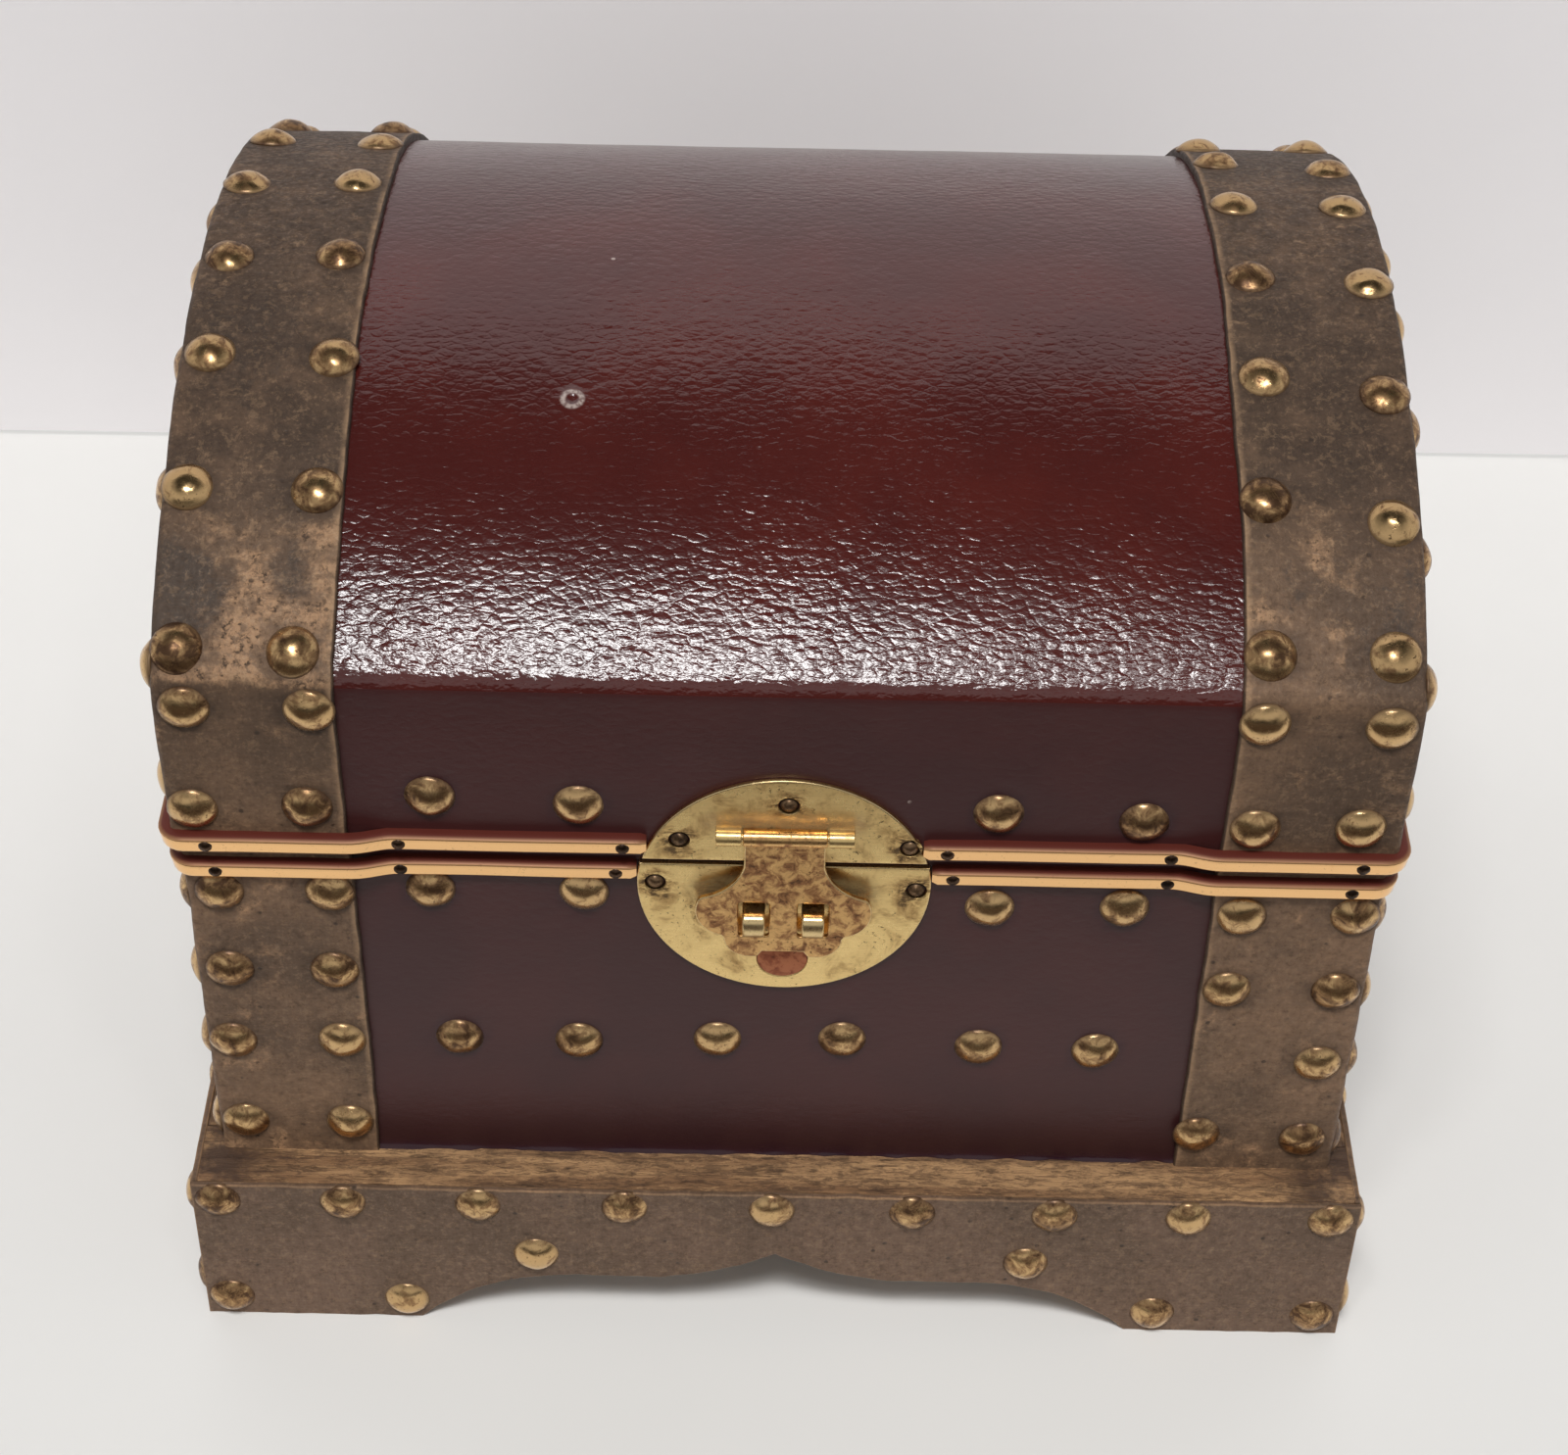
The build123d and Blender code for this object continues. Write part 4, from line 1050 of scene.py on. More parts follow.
def dress_node(node: str, finish: bpy.types.Material, soften: float = 0.0) -> None:
    """Give a CAD node its finish, and ease its edges.

    Args:
        node: the node's name.
        finish: its material.
        soften: radius of its eased edges.
    """
    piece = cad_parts[node]
    piece.data.materials.clear()
    piece.data.materials.append(finish)
    if soften:
        weld = piece.modifiers.new("weld", "WELD")
        weld.merge_threshold = 1e-6
        bevel = piece.modifiers.new("eased_edges", "BEVEL")
        bevel.width = soften
        bevel.segments = 2
        bevel.limit_method = "ANGLE"
        bevel.angle_limit = math.radians(40)
        bevel.harden_normals = False
        piece.modifiers.new("even_shading", "WEIGHTED_NORMAL")
    LOG.info("%s keeps its CAD form", node)


HOLLOW_START, HOLLOW_END = 3.575 * MM, 8.45 * MM
# Reach of the dark ring round each nail: grime and painted shadow.
GRIME_AND_SHADE_START, GRIME_AND_SHADE_END = 4.6 * MM, 6.2 * MM


def press_in(points: np.ndarray, normals: np.ndarray, nails: np.ndarray,
             depth: float = 0.22 * MM) -> tuple[np.ndarray, np.ndarray]:
    """Pull a skin in round its nails.

    Args:
        points: the skin's points.
        normals: the way out at each point.
        nails: the crowns of the nails near it.
        depth: depth of the hollow round a nail.

    Returns:
        The moved points, and how dark each is round the nail beside it: grime and painted shadow.
    """
    if not len(nails):
        return points, np.zeros(len(points))
    least = np.full(len(points), 1.0)
    for crown in nails:
        least = np.minimum(least, np.linalg.norm(points - crown, axis=1))
    pull = 1 - smooth_step(least, HOLLOW_START, HOLLOW_END)
    grime = 1 - smooth_step(least, GRIME_AND_SHADE_START, GRIME_AND_SHADE_END)
    return points - normals * (pull * depth)[:, None], grime


def crowns(*nodes: str) -> np.ndarray:
    """The crowns of all nails in some nodes, one row each."""
    return np.array([p.crown for node in nodes for p in find_nails(node)]).reshape(-1, 3)


@dataclass(frozen=True)
class LidProfile:
    """The lid seen from its end: upright rails, soft folds and a dome, at any depth below its face."""

    half_depth: float = 87.5 * MM
    rim: float = 117.2 * MM
    radius: float = 135.63 * MM
    centre: float = 52.37 * MM
    fold: float = 6.2 * MM
    rail_steps: int = 26
    fold_steps: int = 8
    dome_steps: int = 110

    def stations(self) -> int:
        """Number of stations along the profile."""
        return 2 * (self.rail_steps + self.fold_steps) + self.dome_steps + 1

    def at(self, depth: float | np.ndarray) -> tuple[np.ndarray, np.ndarray]:
        """The profile at a depth.

        Args:
            depth: one depth, or one for each station.

        Returns:
            The places as y and z, and the ways out as y and z, one row for each station.
        """
        count = self.stations()
        depths = np.broadcast_to(depth, count)
        places, ways = np.zeros((count, 2)), np.zeros((count, 2))
        half_count = count // 2
        for i in range(half_count + 1):
            for station, side in ((i, -1), (count - 1 - i, 1)):
                y, z, tilt = self.front_half(i, float(depths[station]))
                places[station] = (-side * y, z)
                ways[station] = (-side * -math.sin(tilt), math.cos(tilt))
        return places, ways

    def front_half(self, i: int, depth: float) -> tuple[float, float, float]:
        """One station of the front half: y, z, and the tilt of the way out from upright."""
        half, radius = self.half_depth - depth, self.radius - depth
        fold = max(self.fold - depth, 0.4 * MM)
        lean = math.asin((half - fold) / (radius - fold))
        fold_y = -half + fold
        fold_z = self.centre + (radius - fold) * math.cos(lean)
        if i <= self.rail_steps:
            share = i / self.rail_steps
            return -half, self.rim + (fold_z - self.rim) * share, math.pi / 2
        i -= self.rail_steps
        if i <= self.fold_steps:
            tilt = math.pi / 2 + (lean - math.pi / 2) * i / self.fold_steps
            return fold_y - fold * math.sin(tilt), fold_z + fold * math.cos(tilt), tilt
        i -= self.fold_steps
        tilt = lean * (1 - i / (self.dome_steps / 2))
        return -radius * math.sin(tilt), self.centre + radius * math.cos(tilt), tilt


def band_section(reach: float, turn_reach: float, thickness: float, corner: float,
                 steps: int = 9) -> tuple[np.ndarray, np.ndarray, np.ndarray]:
    """Section of a strap folded over a corner.

    Args:
        reach: how far its first leg runs from the corner.
        turn_reach: how far its second leg runs from the corner.
        thickness: the hide's thickness.
        corner: radius of the fold.
        steps: points along each leg.

    Returns:
        The section as (across, depth) from the corner's two outer planes, one where a point lies on the
        outer face, and how near it is to a free border.
    """
    ease = 0.45 * MM
    points: list[Point] = []
    outer: list[float] = []
    rim: list[float] = []

    def put(new: Iterable[Point], is_outer: float, is_rim: Iterable[float]) -> None:
        """Add points with their marks."""
        for point, near in zip(new, is_rim):
            points.append(point)
            outer.append(is_outer)
            rim.append(near)

    legs = np.linspace(0, 1, steps)
    near_rim = [1.0] + [0.0] * (steps - 1)
    spaced = np.concatenate([[0, 0.035], np.linspace(0.1, 1, steps - 2)])
    put([(reach - ease, 0.0)], 1, [1])
    put([(reach - ease - (reach - ease - corner) * s, 0.0) for s in spaced[1:]], 1, near_rim[1:])
    put(arc_points((corner, corner), corner, 270, 180, 6)[1:-1], 1, [0] * 4)
    put([(0.0, corner + (turn_reach - ease - corner) * s) for s in (1 - spaced[::-1])], 1, near_rim[::-1])
    put(arc_points((ease, turn_reach - ease), ease, 180, 90, 4)[1:], 0.5, [1] * 3)
    put([(thickness, turn_reach), (thickness, turn_reach - ease)], 0, [0.6, 0])
    inner_corner = (thickness, thickness)
    put([(thickness, turn_reach + (thickness - turn_reach) * s) for s in legs[1:-1]], 0, [0] * (steps - 2))
    put([inner_corner], 0, [0])
    put([(thickness + (reach - thickness) * s, thickness) for s in legs[1:-1]], 0, [0] * (steps - 2))
    put([(reach - ease, thickness), (reach, thickness)], 0, [0, 0.6])
    put(arc_points((reach - ease, ease), ease, 0, -90, 4)[:-1], 0.5, [1] * 3)
    return np.array(points), np.array(outer), np.array(rim)


@dataclass
class Straps:
    """The hide straps: one over each end of the lid, and one round each corner of the body."""

    thickness: float = 1.5 * MM
    lid_width: float = 31 * MM
    end_width: float = 26 * MM
    body_width: float = 30 * MM
    lid_half_width: float = 107 * MM
    body_half_width: float = 106 * MM
    body_half_depth: float = 86.75 * MM
    body_shift: float = 0.75 * MM
    ledge: float = 38 * MM
    rim: float = 116.8 * MM
    corner: float = 1.3 * MM
    waver: float = 0.55 * MM
    nibble: float = 0.2 * MM
    border: float = 0.4
    body_steps: int = 56
    rubbed_tilts: tuple[float, float, float, float] = (23, 31, 50, 86)
    painted_shade_tilts: tuple[float, float] = (21, 32)
    foot_wear: float = 9 * MM
    rim_shade: float = 4 * MM
    patches: tuple[tuple[tuple[float, float, float], float, float], ...] = (
        ((104 * MM, -75 * MM, 165 * MM), 15 * MM, 1.0),
        ((84 * MM, -71 * MM, 168 * MM), 7 * MM, 0.8),
        ((95 * MM, -30 * MM, 184 * MM), 22 * MM, 0.6),
    )
    profile: LidProfile = field(default_factory=LidProfile)

    def build(self, finish: bpy.types.Material) -> None:
        """Build all six straps.

        Args:
            finish: the hide.
        """
        for seed, side in enumerate(Side, start=1):
            self.build_lid_strap(side, finish, seed)
            for end_name, end in (("front", -1), ("back", 1)):
                self.build_body_strap(side, end_name, end, finish, 10 * seed + end)

    def relief(self, points: np.ndarray, normals: np.ndarray, outer: np.ndarray, nails: np.ndarray,
               seed: int) -> tuple[np.ndarray, np.ndarray]:
        """Uneven the face of a strap and pull it in round its nails.

        Args:
            points: the strap's points.
            normals: the way out at each.
            outer: one on the outer face, zero inside.
            nails: crowns of its nails.
            seed: picks the noise.

        Returns:
            The moved points, and their grime and painted shadow round the nails.
        """
        swell = waves(points, (0.16 * MM, 13 * MM, seed), (0.07 * MM, 3.5 * MM, seed + 5))
        raised = points + normals * (swell * outer)[:, None]
        pressed, grime = press_in(raised, normals * outer[:, None], nails)
        return pressed, grime * outer

    def border_share(self, across: float, width: float) -> float:
        """How far a point follows the waver of the strap's border: nothing inside, fully at the border."""
        return np.clip((across - (1 - self.border) * width) / (self.border * width), 0, 1)

    def charred(self, points: np.ndarray, side: Side) -> np.ndarray:
        """The dark grey patches on the dome, fainter on the right."""
        marks = np.zeros(len(points))
        for (across, y, z), reach, share in self.patches:
            middle = np.array((side.value * across, y, z))
            gap = np.linalg.norm((points - middle) * (1.3, 1, 1), axis=1)
            marks = np.maximum(marks, (1 - smooth_step(gap, 0.4 * reach, reach)) * share)
        return marks * (1.0 if side is Side.LEFT else 0.5)

    def side_wall(self, outer: np.ndarray, rim: np.ndarray, count: int) -> np.ndarray:
        """Painted shadow on the cut sides of a strap, for all its sections."""
        return np.tile(((outer < 1) & (rim > 0)) * 1.0, count)

    def build_lid_strap(self, side: Side, finish: bpy.types.Material, seed: int) -> None:
        """Build the strap over one end of the lid, with its face on the end.

        Args:
            side: which end.
            finish: the hide.
            seed: picks its waver.
        """
        count = self.profile.stations()
        base, ways = self.profile.at(0)
        along = np.zeros((count, 3))
        along[:, 1:] = base
        sway = waves(along, (self.waver, 30 * MM, seed), (self.nibble, 5 * MM, seed + 3))
        end_sway = self.waver * ripple(along, 26 * MM, seed + 7)
        section, outer, rim = band_section(self.lid_width, self.end_width, self.thickness, self.corner)
        size = len(section)
        points = np.zeros((count, size, 3))
        normals = np.zeros((count, size, 3))
        for k, (across, depth) in enumerate(section):
            places, here = self.profile.at(depth + self.border_share(depth, self.end_width) * end_sway)
            inwards = across + self.border_share(across, self.lid_width) * sway
            points[:, k, 0] = side.value * (self.lid_half_width - inwards)
            points[:, k, 1:] = places
            on_side = depth > across
            normals[:, k, 0] = side.value if on_side else 0
            normals[:, k, 1:] = 0 if on_side else here
        flat, flat_normals = points.reshape(-1, 3), normals.reshape(-1, 3)
        nails = crowns("lid_studs_straps", "lid_studs_ends")
        nails = nails[np.sign(nails[:, 0]) == side.value]
        moved, grime = self.relief(flat, flat_normals, np.tile(outer, count), nails, seed)
        tilt = np.degrees(np.arccos(np.clip(ways[:, 1], -1, 1)))
        front = base[:, 0] < 0
        start, full, ebb, stop = self.rubbed_tilts
        wear = np.where(front, smooth_step(tilt, start, full) * (1 - smooth_step(tilt, ebb, stop)), 0)
        wear = np.repeat(wear, size) * (1.0 if side is Side.LEFT else 0.35)
        # Painted shade: darker high on the dome and at the back, lighter on the front rails and the lower
        # front of the dome.
        low = np.repeat(smooth_step(tilt, *self.painted_shade_tilts) * front, size)
        shade = 1.4 - 0.95 * low
        shape = Shape()
        shape.sweep(moved.reshape(count, size, 3), wear=wear, shade=shade, char=self.charred(moved, side),
                    grime=np.maximum(grime, self.side_wall(outer, rim, count)),
                    rim=np.tile(rim * (outer == 1), count))
        piece = shape.make(f"lid_strap_wrap_{side.label}", [finish], sharp=50)
        place_piece(piece, Body.LID, Slot.HIDE, f"lid_strap_{side.label}", f"lid_end_strap_{side.label}")

    def build_body_strap(self, side: Side, end_name: str, end: int, finish: bpy.types.Material,
                         seed: int) -> None:
        """Build the strap round one corner of the body.

        Args:
            side: left or right.
            end_name: front or back.
            end: -1 at the front, 1 at the back.
            finish: the hide.
            seed: picks its waver.
        """
        heights = np.linspace(self.ledge, self.rim, self.body_steps)
        along = np.zeros((self.body_steps, 3))
        along[:, 2] = heights
        sway = waves(along, (self.waver, 24 * MM, seed), (self.nibble, 5 * MM, seed + 3))
        section, outer, rim = band_section(self.body_width, self.body_width, self.thickness, self.corner)
        size = len(section)
        points = np.zeros((self.body_steps, size, 3))
        normals = np.zeros((self.body_steps, size, 3))
        for k, (across, depth) in enumerate(section):
            inwards, down = (v + self.border_share(v, self.body_width) * sway for v in (across, depth))
            points[:, k, 0] = side.value * (self.body_half_width - inwards)
            points[:, k, 1] = end * (self.body_half_depth - down) + self.body_shift
            points[:, k, 2] = heights
            on_side = depth > across
            normals[:, k, 0] = side.value if on_side else 0
            normals[:, k, 1] = 0 if on_side else end
        nails = crowns(f"body_studs_{end_name}", "body_studs_sides")
        moved, grime = self.relief(points.reshape(-1, 3), normals.reshape(-1, 3),
                                   np.tile(outer, self.body_steps), nails, seed)
        low = 1 - smooth_step(heights, self.ledge, self.ledge + self.foot_wear)
        # Painted shade along the top of the strap, under the lid's edge.
        high = smooth_step(heights, self.rim - self.rim_shade, self.rim)
        shape = Shape()
        shape.sweep(moved.reshape(self.body_steps, size, 3), wear=np.repeat(0.1 + 0.3 * low, size),
                    shade=np.repeat(0.5 * high, size), rim=np.tile(rim * (outer == 1), self.body_steps),
                    grime=np.maximum(grime, self.side_wall(outer, rim, self.body_steps)))
        name = f"{end_name}_{side.label}"
        piece = shape.make(f"corner_strap_{name}", [finish], sharp=50)
        place_piece(piece, Body.CHEST, Slot.HIDE, f"body_strap_{name}")


@dataclass
class Covers:
    """The leatherette: one sheet over the lid, one wrapped round the body, and the two end panels."""

    depth: float = 1.5 * MM
    thickness: float = 0.8 * MM
    lid_half_width: float = 105.5 * MM
    body_half_width: float = 104.5 * MM
    body_half_depth: float = 85.25 * MM
    body_shift: float = 0.75 * MM
    ledge: float = 38 * MM
    rim: float = 116.8 * MM
    lid_columns: int = 120
    wrap_step: float = 2 * MM
    hollow: float = 0.15 * MM
    shade_from: float = 2 * MM
    shade_to: float = 15 * MM
    profile: LidProfile = field(default_factory=LidProfile)

    def build(self, glossy: bpy.types.Material, matt: bpy.types.Material) -> None:
        """Build the covers.

        Args:
            glossy: the leatherette of the dome.
            matt: the leatherette of the uprights.
        """
        self.build_lid(glossy, matt)
        self.build_body(matt)
        for side in Side:
            dress_node(f"lid_end_cover_{side.label}", matt, 0.25 * MM)

    def build_lid(self, glossy: bpy.types.Material, matt: bpy.types.Material) -> None:
        """Stretch the sheet over the lid, matt on its rails."""
        count = self.profile.stations()
        columns = np.linspace(-self.lid_half_width, self.lid_half_width, self.lid_columns)
        outer, ways = self.profile.at(self.depth)
        inner, _ = self.profile.at(self.depth + self.thickness)
        points = np.zeros((count, 2 * self.lid_columns, 3))
        normals = np.zeros_like(points)
        points[:, :self.lid_columns, 0] = columns
        points[:, self.lid_columns:, 0] = columns[::-1]
        points[:, :self.lid_columns, 1:] = outer[:, None, :]
        points[:, self.lid_columns:, 1:] = inner[:, None, :]
        normals[:, :self.lid_columns, 1:] = ways[:, None, :]
        flat, flat_normals = points.reshape(-1, 3), normals.reshape(-1, 3)
        swell = waves(flat, (0.13 * MM, 34 * MM, 4), (0.05 * MM, 9 * MM, 5))
        moved = flat + flat_normals * swell[:, None]
        # The ring round the rail studs here is painted shadow, kept as the shade mark.
        moved, dirt = press_in(moved, flat_normals, crowns("lid_studs_rails"), self.hollow)
        shape = Shape()
        shape.sweep(moved.reshape(count, -1, 3), shade=dirt)
        rails = self.profile.rail_steps + self.profile.fold_steps // 4
        heights = flat.reshape(count, -1, 3)[:, 0, 2]
        fold_top = max(heights[rails], heights[count - 1 - rails]) + 0.3 * MM
        shape.second = [all(shape.points[i][2] < fold_top for i in face) for face in shape.faces]
        piece = shape.make("lid_leatherette", [glossy, matt], sharp=60)
        place_piece(piece, Body.LID, Slot.LEATHERETTE, "lid_cover")

    def build_body(self, finish: bpy.types.Material) -> None:
        """Wrap the sheet round the body, its lower edge lacquered down on the ledge."""
        w, d = self.body_half_width, self.body_half_depth
        plan = densify([(-w, -d), (w, -d), (w, d), (-w, d)], self.wrap_step)
        rise = self.rim - self.ledge
        lip = [(0.95, 0.0), (0.8, 0.22), (0.45, 0.5), (0.2, 1.1), (0.06, 2.0)]
        outer = [(out * MM, up * MM) for out, up in lip]
        outer += [(0.0, up) for up in np.linspace(3.2 * MM, rise, 26)]
        inner = [(-self.thickness, rise), (-self.thickness, rise / 2), (-self.thickness, 0.0)]
        section = outer + inner
        points, normals, lacquer, lipped = [], [], [], []
        for x, y in plan:
            way_x = math.copysign(1, x) if abs(abs(x) - w) < 1e-9 else 0.0
            way_y = math.copysign(1, y) if abs(abs(y) - d) < 1e-9 else 0.0
            for out, up in section:
                under = min(out, 0)
                points.append((x + way_x * under, y + way_y * under + self.body_shift, self.ledge + up))
                normals.append((way_x, way_y, 0))
                lipped.append(max(out, 0))
                lacquer.append(1 - min(max((up - 0.8 * MM) / (2.4 * MM), 0), 1))
        flat, ways = np.array(points), np.array(normals, float)
        ragged = 0.75 + waves(flat * (1, 1, 0.2), (0.75, 6 * MM, 8), (0.3, 1.6 * MM, 9))
        is_outer = np.tile([1.0] * len(outer) + [0.0] * len(inner), len(plan))
        swell = waves(flat, (0.1 * MM, 36 * MM, 6), (0.04 * MM, 8 * MM, 7))
        flat = flat + ways * (np.array(lipped) * np.clip(ragged, 0.15, 1.5) + swell * is_outer)[:, None]
        nails = crowns("body_studs_front", "body_studs_back", "body_studs_sides")
        # The ring round the nails here is painted shadow.
        flat, dirt = press_in(flat, ways * is_outer[:, None], nails, self.hollow)
        wet = np.array(lacquer) * np.clip(0.6 + 0.8 * ripple(flat, 5 * MM, 3), 0, 1)
        shape = Shape()
        # Darker towards the foot of the wrap, and the painted shadow round the nails, as the shade mark.
        low = 1 - smooth_step(flat[:, 2], self.ledge + self.shade_from, self.ledge + self.shade_to)
        shape.sweep(flat.reshape(len(plan), -1, 3), closed=True, lacquer=wet, shade=np.maximum(low, dirt))
        piece = shape.make("body_leatherette", [finish], sharp=60)
        place_piece(piece, Body.CHEST, Slot.LEATHERETTE, "body_cover")


@dataclass
class Plinth:
    """The stepped-out plinth: four boards with a bracket cut, and a thin hide facing glued on each."""

    half_width: float = 111 * MM
    half_depth: float = 95.5 * MM
    height: float = 38 * MM
    facing: float = 1.2 * MM
    board: float = 14 * MM
    front_foot: float = 42 * MM
    side_foot: float = 39.5 * MM
    plateau: float = 13.4 * MM
    cusp: float = 21 * MM
    haunch_share: float = 0.87
    haunch_rise_share: float = 0.57
    shoulder_share: float = 0.61
    inner_plateau_share: float = 0.32
    bow_share: float = 0.16
    bow_rise_share: float = 0.32
    worn_board: float = 0.12 * MM
    worn_facing: float = 0.35 * MM
    bevel: float = 0.3 * MM

    def bracket(self, half_length: float, arch_half: float, ragged: float, seed: int) -> list[Point]:
        """Outline of a board with the bracket cut, its edges a little uneven.

        Args:
            half_length: half of the board's length.
            arch_half: half of the opening between its feet.
            ragged: how uneven the upper edge and the cut are.
            seed: picks the unevenness.

        Returns:
            The closed outline.
        """
        shoulder = (arch_half * self.shoulder_share, self.plateau)
        haunch = (arch_half * self.haunch_share, self.plateau * self.haunch_rise_share)
        inner = (arch_half * self.inner_plateau_share, self.plateau)
        bow = (arch_half * self.bow_share, self.plateau + (self.cusp - self.plateau) * self.bow_rise_share)
        half = [(half_length, 0.0)]
        half += arc_through((arch_half, 0), haunch, shoulder, 14)
        half += arc_through(inner, bow, (0, self.cusp), 12)
        other = [(-x, y) for x, y in half[-2::-1]]
        loop = densify([*half, *other, (-half_length, self.height), (half_length, self.height)], 1.6 * MM)
        moved = []
        for x, y in loop:
            shift = ragged * noise.noise(Vector((x / (4 * MM), seed * 9.1, y / (9 * MM))))
            free = 0 < y and abs(abs(x) - half_length) > 0.1 * MM
            moved.append((x, y + shift if free else y))
        return moved

    def build(self, front_wood: bpy.types.Material, side_wood: bpy.types.Material,
              hide: bpy.types.Material, worn: bpy.types.Material) -> None:
        """Build the boards and their facings.

        Args:
            front_wood: wood with its grain along X.
            side_wood: wood with its grain along Y.
            hide: the facings' hide.
            worn: the rubbed edge of the facings.
        """
        core_width, core_depth = self.half_width - self.facing, self.half_depth - self.facing
        arch_front = self.half_width - self.front_foot
        arch_side = self.half_depth - self.side_foot
        for seed, face in enumerate(Face, start=1):
            long_face = face in (Face.FRONT, Face.BACK)
            name = face.name.lower()
            distance = core_depth if long_face else core_width
            board_half = core_width if long_face else core_depth - self.board
            facing_half = self.half_width if long_face else core_depth
            arch = arch_front if long_face else arch_side
            board = Shape()
            outline = self.bracket(board_half, arch, self.worn_board, seed)
            board.add_mesh(cut_plate([outline], self.board, self.bevel), face.matrix(distance - self.board))
            wood = front_wood if long_face else side_wood
            piece = board.make(f"plinth_wood_{name}", [wood], weighted=True)
            place_piece(piece, Body.CHEST, Slot.GOLDEN_WOOD, f"plinth_board_{name}")
            sheet = Shape()
            outline = self.bracket(facing_half, arch, self.worn_facing, seed + 20)
            sheet.add_mesh(cut_plate([outline], self.facing, self.bevel, True), face.matrix(distance))
            piece = sheet.make(f"plinth_hide_{name}", [hide, worn], weighted=True)
            place_piece(piece, Body.CHEST, Slot.HIDE, f"plinth_facing_{name}")


@dataclass
class Studwork:
    """Every nail of the chest, one piece for each row of them."""

    def build(self, stud_metal: bpy.types.Material, pin_metal: bpy.types.Material,
              plate_metal: bpy.types.Material) -> None:
        """Drive all nails.

        Args:
            stud_metal: the domed heads' brass.
            pin_metal: the dark metal of the small pins.
            plate_metal: the tarnished brass of the nails in the lock and the hinges.
        """
        rows = [
            ("body_studs_front", STUD, Body.CHEST), ("body_studs_back", STUD, Body.CHEST),
            ("body_studs_sides", STUD, Body.CHEST), ("plinth_studs", STUD, Body.CHEST),
            ("lid_studs_straps", STUD, Body.LID), ("lid_studs_rails", STUD, Body.LID),
            ("lid_studs_ends", STUD, Body.LID), ("body_rim_nails", RIM_PIN, Body.CHEST),
            ("lid_rim_nails", RIM_PIN, Body.LID), ("lock_nails_upper", PLATE_NAIL, Body.LID),
            ("lock_nails_lower", PLATE_NAIL, Body.CHEST), ("hinge_nails_body", HINGE_NAIL, Body.CHEST),
            ("hinge_nails_lid", HINGE_NAIL, Body.LID),
        ]
        for seed, (node, nail, body) in enumerate(rows, start=1):
            shape = Shape()
            nail.drive(shape, find_nails(node), seed)
            metal = {STUD: stud_metal, RIM_PIN: pin_metal}.get(nail, plate_metal)
            slot = Slot.NAILS if nail is STUD else Slot.DARK_PINS
            place_piece(shape.make(f"{node}_set", [metal], sharp=60), body, slot, node)


@dataclass(frozen=True)
class Rim:
    """One rim that carries a pair of strips: its own sizes, and where its strips start beside the lock."""

    owner: str
    body: Body
    foot: float
    start: float
    half_width: float
    front: float
    strap: float


